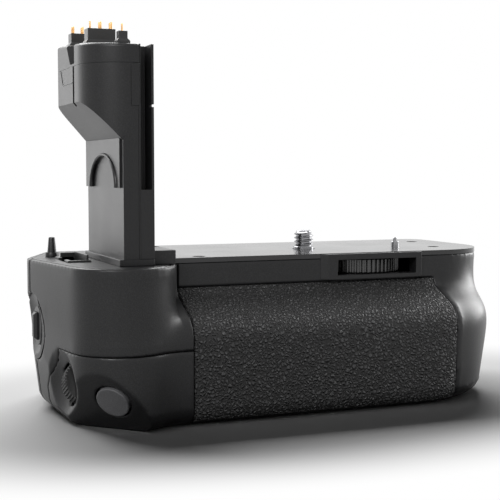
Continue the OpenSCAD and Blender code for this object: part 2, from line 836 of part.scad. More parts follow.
module chassis_plate() {
    stud_pr = stud_teeth * gear_m / 2;
    wheel_pr = wheel_teeth * gear_m / 2;
    x0 = stud_x - stud_pr - 2.5 * chassis_t;
    x1 = wheel_x + wheel_pr + chassis_t / 2;
    y0 = wheel_y - wheel_pr + chassis_t / 2;
    y1 = stud_y + stud_pr + 2 * chassis_t;
    color(metal) difference() {
        translate([x0, y0, bay_z1]) cube([x1 - x0, y1 - y0, chassis_t]);
        translate([stud_x, stud_y, 0]) cylinder(r = shaft_r + 1.5 + run_gap, h = deck_z);
        translate([wheel_x, wheel_y, 0]) cylinder(r = axle_r + run_gap, h = deck_z);
    }
}

module wheel_axle() {
    color(steel) translate([wheel_x, wheel_y, bay_z1]) {
        cylinder(r = axle_r, h = deck_under - bay_z1 - 0.1);
        translate([0, 0, chassis_t]) cylinder(r = axle_r + 1.6, h = flange_t);
    }
}

module stud_bush() {
    color(gold) translate([stud_x, stud_y, bay_z1]) difference() {
        union() {
            cylinder(r = shaft_r + 1.5, h = chassis_t + flange_t);
            translate([0, 0, chassis_t]) cylinder(r = shaft_r + 2.6, h = flange_t);
        }
        translate([0, 0, -eps]) cylinder(r = shaft_r + run_gap, h = chassis_t + flange_t + 2 * eps);
    }
}

// Stud with a plain shaft, a thrust flange under the deck and ridges at the thread's pitch
module attachment_stud() {
    z0 = bay_z1 + 0.1;
    z1 = deck_z + 0.9;
    f0 = deck_under - 0.6 * wheel_room;
    f1 = deck_under - 0.25 * wheel_room;
    crest = 0.45 * stud_pitch;
    flank = (stud_pitch - crest) / 2 - 0.05;
    ridges = [for (i = [0:stud_turns - 1]) let (z = z1 + i * stud_pitch) each [
        [stud_root, z], [stud_r, z + flank], [stud_r, z + flank + crest], [stud_root, z + 2 * flank + crest]
    ]];
    z2 = z1 + stud_turns * stud_pitch;
    color(metal) translate([stud_x, stud_y, 0]) rotate_extrude() polygon(concat(
        [[0, z0], [shaft_r, z0], [shaft_r, f0], [thrust_r, f0], [thrust_r, f1]],
        [[collar_r, f1], [collar_r, z1]],
        ridges,
        [[stud_root - 0.4, z2 + 0.3], [0, z2 + 0.3]]
    ));
}

function inv_a(r, rb) = r <= rb ? 0 : let (t = sqrt(r * r / (rb * rb) - 1)) t * 180 / PI - atan(t);

// Outline of a gear with n teeth, one tooth pointing to angle a
function gear_points(n, a) =
    let (rp = n * gear_m / 2)
    let (rb = rp * cos(pressure_a))
    let (rr = [rp - 1.2 * gear_m, rb, rp - 0.2 * gear_m, rp + 0.4 * gear_m, rp + 0.85 * gear_m])
    let (half = 90 / n - tooth_thin / rp * 180 / PI + inv_a(rp, rb))
    [for (i = [0:n - 1]) each concat(
        [for (k = [0:4]) let (b = a + 360 * i / n - half + inv_a(rr[k], rb)) rr[k] * [cos(b), sin(b)]],
        [for (k = [4:-1:0]) let (b = a + 360 * i / n + half - inv_a(rr[k], rb)) rr[k] * [cos(b), sin(b)]]
    )];

// Outline of a ribbed rim
function rib_points(n, r, d) = [for (i = [0:n - 1]) each [
    for (k = [[-0.3, 0], [-0.16, d], [0.16, d], [0.3, 0]])
        (r - d + k[1]) * [cos(360 * (i + k[0]) / n), sin(360 * (i + k[0]) / n)]
]];

module stud_gear() {
    color(steel) translate([stud_x, stud_y, gear_z]) linear_extrude(gear_t) difference() {
        polygon(gear_points(stud_teeth, mesh_a + 180 + 180 / stud_teeth));
        circle(r = shaft_r + run_gap / 2);
    }
}

module thumbwheel() {
    color(dark) translate([wheel_x, wheel_y, 0]) difference() {
        union() {
            translate([0, 0, wheel_z]) linear_extrude(wheel_t)
                polygon(rib_points(wheel_ribs, wheel_r, wheel_rib));
            translate([0, 0, gear_z]) linear_extrude(wheel_z - gear_z)
                polygon(gear_points(wheel_teeth, mesh_a));
        }
        cylinder(r = axle_r + run_gap, h = deck_z);
    }
}

module locating_pin() {
    tip = 1.3;
    color(metal) translate([pin_x, pin_y, deck_under]) {
        cylinder(r = pin_seat_r, h = deck_t);
        translate([0, 0, deck_t]) cylinder(r = pin_r, h = pin_h);
        translate([0, 0, deck_t + pin_h]) cylinder(r = pin_r / 2, h = tip);
    }
}

peg_r = 1.8;
module guide_peg() {
    color(plastic) translate([left_x + peg_in, peg_y, cap_z - cap_t]) {
        cylinder(r = peg_r, h = cap_t + 1.4);
        translate([0, 0, cap_t + 1.4]) cylinder(r1 = 1.2, r2 = 0.75, h = peg_h);
    }
}

module door_clips() {
    t = 1.2;
    color(dark) difference() {
        translate([clip_x, clip_y, cap_z - clip_h]) cube([clip_w, clip_l, clip_h + 0.6]);
        translate([clip_x + t, clip_y + t, cap_z - clip_h + t])
            cube([clip_w - 2 * t, clip_l - 2 * t, 2 * clip_h]);
        translate([clip_x - eps, clip_y + 5, cap_z - 2])
            cube([clip_w - 3, clip_l - 10, 2 * clip_h]);
    }
}

cable_room = 2.2;
module stalk_foot() {
    over = 1.2;
    block = cap_x - column_x1 - 0.6;
    color(plastic) difference() {
        union() {
            translate([column_x0 - over, column_y0, cap_z]) cube([column_t + over, column_d, foot_t]);
            translate([column_x1, column_y0 + 3, cap_z]) cube([block, 14, foot_t + 2.2]);
            translate([column_x1, column_y0 + 24, cap_z]) cube([block, 14, foot_t + 2.2]);
        }
        translate([split_x - cable_room, column_y0 + stalk_wall, 0])
            cube([2 * cable_room, column_d - 2 * stalk_wall, 2 * cap_z]);
    }
}

// Front end of the head's notch and of the groove below it
notch_y = column_y0 + 16.8;

// Plan of the head left of the split, with its two rounded corners, set in by w
module head_plan(w) {
    polygon(concat(
        [[split_x, column_y0 + w], [split_x, column_y1 - w]],
        arc([head_x0 + head_back_r, column_y1 - head_back_r], head_back_r - w, 90, 180, 8),
        arc([head_x0 + head_r, column_y0 + head_r], head_r - w, 180, 270, 10)
    ));
}

// Hollow of the stalk for the flat cable, widening in the head
module stalk_space() {
    translate([split_x - cable_room, column_y0 + stalk_wall, 0])
        cube([2 * cable_room, column_d - 2 * stalk_wall, crown_z]);
    translate([0, 0, head_floor]) linear_extrude(crown_z - head_floor) head_plan(stalk_wall);
}

module stalk_left() {
    arch_d = 0.6;
    ledge_z = cap_z + 22;
    arch_h = 9;
    arch_r = 14;
    arch_y = column_y0 + 20;
    groove_w = 1.8;
    color(plastic) difference() {
        union() {
            translate([column_x0, column_y0, foot_z])
                cube([split_x - column_x0, column_d, neck_z - foot_z + 1]);
            intersection() {
                translate([0, 0, neck_z]) linear_extrude(crown_z - neck_z) head_plan(0);
                translate([0, column_y1 + eps, 0]) rotate([90, 0, 0]) linear_extrude(column_d + 2 * eps)
                    polygon([
                        [column_x0, neck_z - eps], [split_x + eps, neck_z - eps], [split_x + eps, stalk_z],
                        [head_x0 - eps, stalk_z], [head_x0 - eps, neck_z + neck_rise],
                        [head_x0, neck_z + neck_rise], [column_x0, neck_z]
                    ]);
            }
            translate([column_x0 - arch_d, column_y0 + 2, ledge_z])
                cube([arch_d, column_d - 2, neck_z - ledge_z + arch_d]);
        }
        translate([column_x0 - arch_d - eps, arch_y, ledge_z]) rotate([90, 0, 90])
            linear_extrude(arch_d + eps) polygon([for (a = [0:10:180]) [arch_r * cos(a), arch_h * sin(a)]]);
        translate([head_x0 - eps, notch_y, neck_z + eps]) cube([1 + eps, groove_w, stalk_h]);
        stalk_space();
    }
}

module stalk_right() {
    groove_z = cap_z + 21.5;
    notch_z = cap_z + 44.6;
    color(plastic) difference() {
        translate([split_x, column_y0, foot_z]) cube([half_t, column_d, stalk_z - foot_z]);
        stalk_space();
        translate([split_x + 0.6, column_y0 - eps, groove_z]) cube([half_t - 1.6, 1.2 + eps, stalk_h]);
        translate([split_x + 2.4, column_y0 - eps, notch_z]) cube([half_t, 2 + eps, 0.7]);
    }
}

// Space below the top cap's rising face
module crown_wedge() {
    translate([head_x0 - 1, column_y0 - 1, crown_z]) rotate([90, 0, 90])
        linear_extrude(split_x - head_x0 + 2) polygon([
            [0, -1], [column_d + 2, -1], [column_d + 2, crown_top(column_y1 + 1) - crown_z],
            [0, crown_top(column_y0 - 1) - crown_z]
        ]);
}

module stalk_crown() {
    notch_d = 3.2;
    notch_w = 4.9;
    notch_lean = 6.1;
    notch_floor = 0.8;
    notch_h = crown_h + crown_rise;
    color(plastic) difference() {
        intersection() {
            translate([0, 0, crown_z]) linear_extrude(2 * crown_h) head_plan(0);
            crown_wedge();
        }
        for (t = pin_sets) for (p = pin_places(t)) translate([p[0], p[1], crown_z - 1])
            cylinder(r = contact_r + contact_gap, h = 2 * crown_h + 2);
        translate([head_x0 - eps, notch_y, crown_z + notch_floor]) rotate([90, 0, 90])
            linear_extrude(notch_d + eps) polygon([
                [0, 0], [notch_w, 0], [notch_w + notch_lean, notch_h], [0, notch_h]
            ]);
    }
}

// Block around one set of pins: size along X and Y, with its corners cut by c
module contact_block(t, size, c) {
    h = size / 2;
    foot = crown_top(t[0][1]) - block_h / 2;
    color(dark) difference() {
        translate([0, 0, foot]) linear_extrude(block_top(t) - foot) translate(t[0]) polygon([
            [h[0] - c, -h[1]], [h[0], c - h[1]], [h[0], h[1] - c], [h[0] - c, h[1]],
            [c - h[0], h[1]], [-h[0], h[1] - c], [-h[0], c - h[1]], [c - h[0], -h[1]]
        ]);
        crown_wedge();
        for (p = pin_places(t)) translate([p[0], p[1], foot - 1])
            cylinder(r = contact_r + contact_gap, h = 2 * block_h + 2);
    }
}

module rear_contact_block() {
    contact_block(pin_sets[0], [4.8, 4], 0.3);
}

module middle_contact_block() {
    contact_block(pin_sets[1], [8.2, 4.4], 1);
}

module front_contact_block() {
    contact_block(pin_sets[2], [2.6, 2.6], 0.3);
}

// Spring pins through the blocks and the crown, with room to sink above the pin board
module contact_pins() {
    pin_z = pin_board_z + board_t + contact_travel + 0.1;
    color(gold) for (t = pin_sets) for (p = pin_places(t))
        translate([p[0], p[1], pin_z]) cylinder(r = contact_r, h = block_top(t) + contact_h - pin_z);
}

module pin_board() {
    color(green) translate([0, 0, pin_board_z]) linear_extrude(board_t) difference() {
        head_plan(stalk_wall + lid_gap);
        translate([split_x - cable_room / 2, cable_y]) square([cable_room, cable_w]);
    }
}

cable_t = 0.4;
cable_w = 12;
cable_y = column_y1 - stalk_wall - cable_w - 3;
module flat_cable() {
    z = bay_z1 + standoff + board_t;
    color("peru") {
        translate([split_x - cable_t / 2, cable_y, z]) cube([cable_t, cable_w, pin_board_z + board_t - z]);
        translate([split_x - cable_t / 2, cable_y, z]) cube([board_x0 + 6 - split_x, cable_w, cable_t]);
    }
}

board_t = 1.6;
board_w = 40;
standoff = 1.5;
board_x0 = column_x1 + 3;
board_y0 = cable_y - 2;
board_d = back_y - wall - board_gap - key_board_t - 3.2 - board_y0;
board_in = 4;
board_feet = [
    for (x = [board_x0 + board_in, board_x0 + board_w - board_in])
        for (y = [board_y0 + board_in, board_y0 + board_d - board_in]) [x, y]
];
module main_board() {
    color(green) translate([board_x0, board_y0, bay_z1 + standoff]) cube([board_w, board_d, board_t]);
    color(dark) translate([board_x0 + 16, board_y0 + 14, bay_z1 + standoff + board_t]) cube([10, 10, 1.2]);
}

module shutter_button() {
    ball = 45;
    dish = 0.4;
    color(plastic) at_button() {
        difference() {
            translate([0, 0, -wall - button_gap]) cylinder(r = button_r, h = wall + button_gap + button_rise);
            translate([0, 0, button_rise - dish + ball]) sphere(ball, $fn = 96);
        }
        translate([0, 0, -wall - button_gap - flange_w]) cylinder(r = button_r + flange_w, h = flange_w);
        translate([0, 0, switch_h - switch_depth])
            cylinder(r = 1.5, h = switch_depth - switch_h - wall - button_gap - flange_w / 2);
    }
}

module shutter_switch() {
    plate = 1.2;
    color(green) at_button() {
        translate([0, 0, -switch_depth - plate]) cylinder(r = boss_r - wall / 4, h = plate);
        translate([0, 0, -switch_depth]) cylinder(r = 3, h = switch_h - button_travel - 0.1);
    }
}

cheek = 2;
axle_gap = 0.6;
axle_head = 0.4;
dial_pin_r = 1.2;
module control_dial() {
    color(dark) at_dial() difference() {
        translate([0, 0, -dial_w / 2]) linear_extrude(dial_w) polygon(rib_points(dial_ribs, dial_r, 0.7));
        cylinder(r = dial_pin_r + run_gap, h = 2 * dial_w, center = true);
    }
}

// Axle held at the back by the bracket, with a head in front of the dial
module dial_axle() {
    color(steel) at_dial() {
        translate([0, 0, -dial_w / 2 - axle_gap - cheek])
            cylinder(r = dial_pin_r, h = dial_w + axle_gap + cheek + axle_gap / 2);
        translate([0, 0, dial_w / 2 + axle_gap / 2]) cylinder(r = 1.4 * dial_pin_r, h = axle_head);
    }
}

// Bracket behind the dial: a leaning cheek on a foot
module dial_bracket() {
    back = dial_w / 2 + axle_gap + cheek;
    x0 = -1.5 * dial_pin_r;
    color(dark) difference() {
        union() {
            intersection() {
                at_dial() translate([x0, -2 * dial_r, -back])
                    cube([dial_r, 2 * dial_r + 3 * dial_pin_r, cheek]);
                translate([left_x, front_y, wall + cheek / 2]) cube([body_w, body_d, cap_z]);
            }
            translate([dial_x, dial_y, wall]) cube([dial_r + x0, 4 * cheek, cheek]);
        }
        at_dial() translate([0, 0, -back - eps]) cylinder(r = dial_pin_r + run_gap / 2, h = cheek + 2 * eps);
    }
}

power_pin_r = 2;
dish_ball = 24;
dish_floor = dish_depth_x - 1.2 - dish_d;
power_body = 6;
module power_dish() {
    color(plastic) difference() {
        intersection() {
            body_loft(0);
            at_power() cylinder(r = dish_r, h = 4 * wall);
        }
        at_power() translate([0, 0, dish_floor + dish_ball]) sphere(dish_ball, $fn = 96);
        at_power() translate([0, 0, -eps]) cylinder(r = power_pin_r + run_gap, h = 4 * wall);
    }
}

// Knob with a finger bar, clear of the dish it turns in
module power_knob() {
    z = dish_floor + 1.1;
    disc = 0.7;
    bar = [2 * power_r - 1.2, 2.4, 1.6];
    color(dark) at_power() {
        translate([0, 0, z]) cylinder(r = power_r, h = disc);
        translate([-bar[0] / 2, -bar[1] / 2, z + disc]) cube(bar);
        translate([0, 0, 0.3 * power_body - power_body + 0.2])
            cylinder(r = power_pin_r, h = 0.7 * power_body - 0.2 + z + disc / 2);
    }
}

module power_switch() {
    color(dark) at_power() translate([0, 0, -power_body]) difference() {
        translate([-power_body, -power_body, 0]) cube([2 * power_body, 2 * power_body, power_body]);
        translate([0, 0, 0.3 * power_body]) cylinder(r = power_pin_r + run_gap, h = power_body);
    }
}

module rear_button(i) {
    rise_h = 0.7;
    color(dark) at_rear(i) {
        translate([0, 0, -wall - flange_w]) cylinder(r = rear_r + 0.8, h = 0.8 * flange_w);
        translate([0, 0, -wall - flange_w]) cylinder(r = rear_r, h = wall + flange_w + rise_h);
    }
}

module start_button() {
    rear_button(0);
}

module lock_button() {
    rear_button(1);
}

module select_button() {
    rear_button(2);
}

module button_board() {
    color(green) translate([rear_x0 - board_up, back_y - wall - board_gap - key_board_t, rear_z - board_down])
        cube([2 * (rear_step + board_up), key_board_t, board_down + board_up]);
    color(dark) for (i = [0:2]) at_rear(i) translate([0, 0, -wall - board_gap])
        cylinder(r = 2.4, h = board_gap - flange_w - rear_travel - button_gap);
}

// Rubber pad for the thumb, let into the back
pad_t = 1.6;
pad_w = 34;
pad_h = 9;
pad_x0 = rear_x0 + 2 * rear_step + 8;
pad_z0 = rear_z - pad_h / 2;
module thumb_rest() {
    color(dark) translate([pad_x0, back_y - pad_t / 2, pad_z0]) cube([pad_w, pad_t, pad_h]);
}

// Left wall of a pack's cell in the tray
function cell_x(i) = tray_x0 + tray_wall + i * (pack_l + 2 * pack_gap + tray_wall);

module battery_tray() {
    color(dark) difference() {
        translate([tray_x0, tray_y0, tray_z0]) cube([tray_l, tray_d, tray_z1 - tray_z0]);
        for (i = [0:1]) translate([cell_x(i), tray_y0 + tray_wall, tray_z0 + tray_wall])
            cube([pack_l + 2 * pack_gap, pack_w + 2 * pack_gap, pack_t + body_d]);
    }
}

// Round space that the lock's tongue sweeps, grown by g
module tongue_space(g) {
    translate([knob_x, back_y - panel_t - eps, knob_z]) rotate([-90, 0, 0])
        cylinder(r = tongue_r + g, h = eps + tongue_t + 2 * tongue_gap);
}

module tray_panel() {
    color(plastic) difference() {
        translate([tray_x0, tray_y1, tray_z0]) cube([tray_l, panel_t, tray_z1 - tray_z0]);
        translate([knob_x, tray_y1 - eps, knob_z]) rotate([-90, 0, 0])
            cylinder(r = knob_pin_r + run_gap, h = panel_t + 2 * eps);
        translate([knob_x, back_y - 1, knob_z]) rotate([-90, 0, 0]) cylinder(r = knob_r + 0.4, h = panel_t);
        tongue_space(free_gap);
    }
}

module tray_contacts() {
    color(gold) for (i = [0:1]) for (k = [1:3])
        translate([cell_x(i), tray_y0 + 8 * k, knob_z - 4]) cube([pack_gap / 2, 3, 8]);
}

module lock_knob() {
    color(dark) translate([knob_x, 0, knob_z]) rotate([-90, 0, 0]) {
        translate([0, 0, back_y - 0.7]) cylinder(r = knob_r, h = 0.7);
        translate([-knob_r + 0.6, -knob_bar / 2, back_y]) cube([2 * knob_r - 1.2, knob_bar, knob_proud]);
        translate([0, 0, back_y - panel_t + tongue_gap]) cylinder(r = knob_pin_r, h = panel_t - 0.5);
        translate([-tongue_r, -tongue_w / 2, back_y - panel_t + tongue_gap])
            cube([2 * tongue_r, tongue_w, tongue_t]);
    }
}

left_shell();
control_corner();
front_housing();
rear_housing();
rubber_grip();
top_deck();
left_cap();
base_plate();
base_screws();
deck_screws();
wheel_frame();
tripod_bush();
battery_bay();
bay_contacts();
chassis_plate();
wheel_axle();
stud_bush();
main_board();
locating_pin();
guide_peg();
door_clips();
stalk_foot();
stalk_left();
stalk_right();
stalk_crown();
rear_contact_block();
middle_contact_block();
front_contact_block();
contact_pins();
pin_board();
flat_cable();
shutter_switch();
dial_bracket();
dial_axle();
power_dish();
power_switch();
button_board();
thumb_rest();
attachment_stud();
stud_gear();
thumbwheel();
shutter_button();
control_dial();
power_knob();
start_button();
lock_button();
select_button();
battery_tray();
tray_panel();
tray_contacts();
lock_knob();
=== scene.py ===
import math

import bpy
from mathutils import Matrix, Vector


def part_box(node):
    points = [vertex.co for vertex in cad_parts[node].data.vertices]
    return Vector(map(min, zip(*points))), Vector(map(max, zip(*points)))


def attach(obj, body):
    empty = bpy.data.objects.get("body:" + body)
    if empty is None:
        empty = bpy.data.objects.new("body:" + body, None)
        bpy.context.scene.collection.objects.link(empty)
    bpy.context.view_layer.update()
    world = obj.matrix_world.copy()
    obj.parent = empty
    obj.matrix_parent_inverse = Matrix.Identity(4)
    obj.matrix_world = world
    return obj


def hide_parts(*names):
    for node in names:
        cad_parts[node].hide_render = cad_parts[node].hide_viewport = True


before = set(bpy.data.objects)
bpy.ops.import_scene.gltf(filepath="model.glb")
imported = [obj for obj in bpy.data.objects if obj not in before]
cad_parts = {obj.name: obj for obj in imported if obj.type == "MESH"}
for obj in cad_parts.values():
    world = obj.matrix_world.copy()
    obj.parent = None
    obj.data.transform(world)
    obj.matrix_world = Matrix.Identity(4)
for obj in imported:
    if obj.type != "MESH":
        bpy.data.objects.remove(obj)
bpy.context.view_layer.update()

# Studio: a white sheet under the grip, a wide soft lamp high behind it, and three softboxes around it.
# The sheet fades to plain white away from the grip, and only the back lamp lights it, so that the shadow
# stays deep. The camera stands in front of the hand bulge's end, a little above the deck.
MM = 0.001
scene = bpy.context.scene
scene.view_settings.view_transform = "Standard"
bpy.ops.object.select_all(action="DESELECT")
camera_at = Vector((-139.5, -329.8, 73.5)) * MM
tilt, turn = math.radians(85.878), math.radians(-22)
bpy.ops.object.camera_add(location=camera_at, rotation=(tilt, 0, turn))
scene.camera = bpy.context.object
scene.camera.data.sensor_width = 36
scene.camera.data.lens = 79.92
scene.camera.data.clip_start = 0.01

# Name, place, what it points at and size, all in metres, and power in watts
lamps = (
    ("back_lamp", (0.0, 0.54, 0.56), (0.0, 0.0, 0.02), (1.0, 0.32), 7.5),
    ("left_lamp", (-0.36, 0.66, 0.18), (-0.05, 0.0, 0.05), (0.5, 0.7), 1.2),
    ("right_lamp", (0.68, 0.12, 0.26), (0.06, 0.0, 0.03), (0.44, 0.44), 4.2),
    ("front_lamp", (-0.5, -0.5, 0.5), (-0.05, 0.0, 0.03), (0.3, 0.3), 3.8),
)
fill_lamps = []
for name, place, target, size, power in lamps:
    bpy.ops.object.light_add(type="AREA", location=place)
    lamp = bpy.context.object
    lamp.name = name
    lamp.data.shape = "RECTANGLE"
    lamp.data.size, lamp.data.size_y = size
    lamp.data.energy = power
    lamp.rotation_euler = (Vector(target) - Vector(place)).to_track_quat("-Z", "Y").to_euler()
    if name != "back_lamp":
        fill_lamps.append(lamp)


def seen_directly(nodes, links):
    """Is Camera, Glossy or Transmission Ray: 1 where a ray sees the background itself."""
    path = nodes.new("ShaderNodeLightPath")
    both = nodes.new("ShaderNodeMath")
    both.operation = "MAXIMUM"
    links.new(path.outputs["Is Camera Ray"], both.inputs[0])
    links.new(path.outputs["Is Glossy Ray"], both.inputs[1])
    every = nodes.new("ShaderNodeMath")
    every.operation = "MAXIMUM"
    links.new(both.outputs[0], every.inputs[0])
    links.new(path.outputs["Is Transmission Ray"], every.inputs[1])
    return every.outputs[0]


scene.world = bpy.data.worlds.new("studio_room")
scene.world.use_nodes = True
nodes, links = scene.world.node_tree.nodes, scene.world.node_tree.links
nodes.clear()
room = nodes.new("ShaderNodeBackground")
room.inputs["Color"].default_value = (1, 1, 1, 1)
room.inputs["Strength"].default_value = 0.035
white = nodes.new("ShaderNodeBackground")
white.inputs["Color"].default_value = (1, 1, 1, 1)
white.inputs["Strength"].default_value = 1
pick = nodes.new("ShaderNodeMixShader")
links.new(seen_directly(nodes, links), pick.inputs["Fac"])
links.new(room.outputs[0], pick.inputs[1])
links.new(white.outputs[0], pick.inputs[2])
links.new(pick.outputs[0], nodes.new("ShaderNodeOutputWorld").inputs["Surface"])

bpy.ops.mesh.primitive_plane_add(size=6, location=(0, 0, 0))
sheet = bpy.context.object
sheet.name = "floor_sheet"
paper = bpy.data.materials.new("white_paper")
paper.use_nodes = True
nodes, links = paper.node_tree.nodes, paper.node_tree.links
nodes.clear()
lit = nodes.new("ShaderNodeBsdfDiffuse")
lit.inputs["Color"].default_value = (0.92, 0.92, 0.92, 1)
plain = nodes.new("ShaderNodeEmission")
plain.inputs["Strength"].default_value = 1
place = nodes.new("ShaderNodeTexCoord")
squeeze = nodes.new("ShaderNodeMapping")
squeeze.inputs["Scale"].default_value = (0.62, 1, 1)
links.new(place.outputs["Object"], squeeze.inputs["Vector"])
away = nodes.new("ShaderNodeVectorMath")
away.operation = "LENGTH"
links.new(squeeze.outputs["Vector"], away.inputs[0])
fade = nodes.new("ShaderNodeMapRange")
fade.interpolation_type = "SMOOTHSTEP"
fade.inputs["From Min"].default_value = 0.064
fade.inputs["From Max"].default_value = 0.106
links.new(away.outputs["Value"], fade.inputs["Value"])
share = nodes.new("ShaderNodeMath")
share.operation = "MULTIPLY"
links.new(fade.outputs["Result"], share.inputs[0])
links.new(seen_directly(nodes, links), share.inputs[1])
pick = nodes.new("ShaderNodeMixShader")
links.new(share.outputs[0], pick.inputs["Fac"])
links.new(lit.outputs[0], pick.inputs[1])
links.new(plain.outputs[0], pick.inputs[2])
links.new(pick.outputs[0], nodes.new("ShaderNodeOutputMaterial").inputs["Surface"])
sheet.data.materials.append(paper)
shaded = bpy.data.collections.new("floor_without_fill")
shaded.objects.link(sheet)
shaded.collection_objects[0].light_linking.link_state = "EXCLUDE"
for lamp in fill_lamps:
    lamp.light_linking.receiver_collection = shaded

# Left shell: the smooth upper half of the hand bulge, moulded in glass-filled charcoal plastic with a fine
# spark-eroded grain. It is clipped to the front housing, and its rim carries the cap.


def select_only(*pieces):
    """Selects these pieces alone, the first of them as the active one."""
    bpy.ops.object.select_all(action="DESELECT")
    for piece in pieces:
        piece.select_set(True)
    bpy.context.view_layer.objects.active = pieces[0]


def copy_of(node, name):
    """A piece with a merged copy of a CAD node's mesh, its flat faces made whole again."""
    piece = bpy.data.objects.new(name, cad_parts[node].data.copy())
    scene.collection.objects.link(piece)
    piece.data.materials.clear()
    select_only(piece)
    bpy.ops.mesh.customdata_custom_splitnormals_clear()
    bpy.ops.object.mode_set(mode="EDIT")
    bpy.ops.mesh.select_all(action="SELECT")
    bpy.ops.mesh.remove_doubles(threshold=0.004 * MM)
    bpy.ops.mesh.dissolve_limited(angle_limit=math.radians(0.4))
    bpy.ops.object.mode_set(mode="OBJECT")
    return piece


def apply_all(piece):
    """Applies a piece's modifiers in their order."""
    select_only(piece)
    for step in list(piece.modifiers):
        bpy.ops.object.modifier_apply(modifier=step.name)


def softened(piece, voxel, passes, most, broad=None):
    """Remeshes a moulded piece finely, rounds its edges as a mould does, and thins it to most triangles.

    Between the two corners of broad, in millimetres, where it has no edges, it is evened out further.
    """
    net = piece.modifiers.new("net", "REMESH")
    net.mode = "VOXEL"
    net.voxel_size = voxel * MM
    rounding = piece.modifiers.new("rounding", "SMOOTH")
    rounding.factor = 0.5
    rounding.iterations = passes
    apply_all(piece)
    if broad:
        swell = piece.vertex_groups.new(name="swell")
        inside = [
            point.index for point in piece.data.vertices
            if all(a * MM < c < b * MM for a, c, b in zip(broad[0], point.co, broad[1]))
        ]
        swell.add(inside, 1, "REPLACE")
        easing = piece.modifiers.new("easing", "SMOOTH")
        easing.factor = 0.5
        easing.iterations = 420
        easing.vertex_group = "swell"
        apply_all(piece)
        piece.vertex_groups.clear()
    count = 2 * len(piece.data.polygons)
    if count > most:
        thin = piece.modifiers.new("thin", "DECIMATE")
        thin.ratio = most / count
        apply_all(piece)
    bpy.ops.object.shade_smooth()
    return piece


def rounded(piece, width, steps=3, angle=28):
    """Rounds a piece's edges to a radius, and shades the rounding smooth and the flat faces flat."""
    edges = piece.modifiers.new("edges", "BEVEL")
    edges.width = width * MM
    edges.segments = steps
    edges.limit_method = "ANGLE"
    edges.angle_limit = math.radians(angle)
    edges.use_clamp_overlap = True
    apply_all(piece)
    bpy.ops.object.shade_smooth_by_angle(angle=math.radians(40))
    flats = piece.modifiers.new("flats", "WEIGHTED_NORMAL")
    flats.weight = 90
    flats.keep_sharp = True
    apply_all(piece)
    return piece


def finished(piece, material, body, node):
    """Gives a piece its material and its body, and hides the CAD node that it stands for."""
    piece.data.materials.clear()
    piece.data.materials.append(material)
    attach(piece, body)
    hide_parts(node)


def new_group(name, inputs, outputs):
    """A shader node group with number sockets, and its input and output nodes."""
    group = bpy.data.node_groups.new(name, "ShaderNodeTree")
    for label, value in inputs:
        socket = group.interface.new_socket(name=label, in_out="INPUT", socket_type="NodeSocketFloat")
        socket.default_value = value
    for label in outputs:
        group.interface.new_socket(name=label, in_out="OUTPUT", socket_type="NodeSocketFloat")
    return group, group.nodes.new("NodeGroupInput"), group.nodes.new("NodeGroupOutput")


# Height and flecks of an eroded mould: two sizes of noise, and broad clouds of handling sheen
erosion, given, result = new_group(
    "mould_grain", (("Grain", 5200), ("Clouds", 45)), ("Height", "Fleck", "Cloud")
)
place = erosion.nodes.new("ShaderNodeTexCoord")
fine = erosion.nodes.new("ShaderNodeTexNoise")
fine.inputs["Detail"].default_value = 1.5
fine.inputs["Roughness"].default_value = 0.6
erosion.links.new(place.outputs["Object"], fine.inputs["Vector"])
erosion.links.new(given.outputs["Grain"], fine.inputs["Scale"])
broad = erosion.nodes.new("ShaderNodeTexNoise")
broad.inputs["Detail"].default_value = 3
erosion.links.new(place.outputs["Object"], broad.inputs["Vector"])
erosion.links.new(given.outputs["Clouds"], broad.inputs["Scale"])
fleck = erosion.nodes.new("ShaderNodeMapRange")
fleck.inputs["From Min"].default_value = 0.42
fleck.inputs["From Max"].default_value = 0.68
erosion.links.new(fine.outputs["Fac"], fleck.inputs["Value"])
erosion.links.new(fine.outputs["Fac"], result.inputs["Height"])
erosion.links.new(fleck.outputs["Result"], result.inputs["Fleck"])
erosion.links.new(broad.outputs["Fac"], result.inputs["Cloud"])


def moulded_plastic(name, dark, light, rough, grain, depth, shine=0.5):
    """Plastic from an eroded mould: grain and depth are the sizes of its pits, in millimetres."""
    material = bpy.data.materials.new(name)
    material.use_nodes = True
    nodes, links = material.node_tree.nodes, material.node_tree.links
    surface = nodes["Principled BSDF"]
    surface.inputs["Specular IOR Level"].default_value = shine
    texture = nodes.new("ShaderNodeGroup")
    texture.node_tree = erosion
    texture.inputs["Grain"].default_value = 1 / (grain * MM)
    colour = nodes.new("ShaderNodeMix")
    colour.data_type = "RGBA"
    colour.inputs["A"].default_value = (*dark, 1)
    colour.inputs["B"].default_value = (*light, 1)
    links.new(texture.outputs["Fleck"], colour.inputs["Factor"])
    links.new(colour.outputs["Result"], surface.inputs["Base Color"])
    sheen = nodes.new("ShaderNodeMapRange")
    sheen.inputs["To Min"].default_value = rough - 0.06
    sheen.inputs["To Max"].default_value = rough + 0.06
    links.new(texture.outputs["Cloud"], sheen.inputs["Value"])
    links.new(sheen.outputs["Result"], surface.inputs["Roughness"])
    pits = nodes.new("ShaderNodeBump")
    pits.inputs["Distance"].default_value = depth * MM
    links.new(texture.outputs["Height"], pits.inputs["Height"])
    links.new(pits.outputs["Normal"], surface.inputs["Normal"])
    return material


charcoal = moulded_plastic(
    "charcoal_plastic", (0.007, 0.007, 0.0075), (0.019, 0.019, 0.02),
    rough=0.37, grain=0.28, depth=0.03, shine=0.32,
)
bulge = ((-80, -60, 25), (-40, -5.5, 43.5))
left_shell = softened(
    copy_of("left_shell", "left_shell_moulding"), voxel=0.42, passes=6, most=150000, broad=bulge
)
finished(left_shell, charcoal, "body", "left_shell")

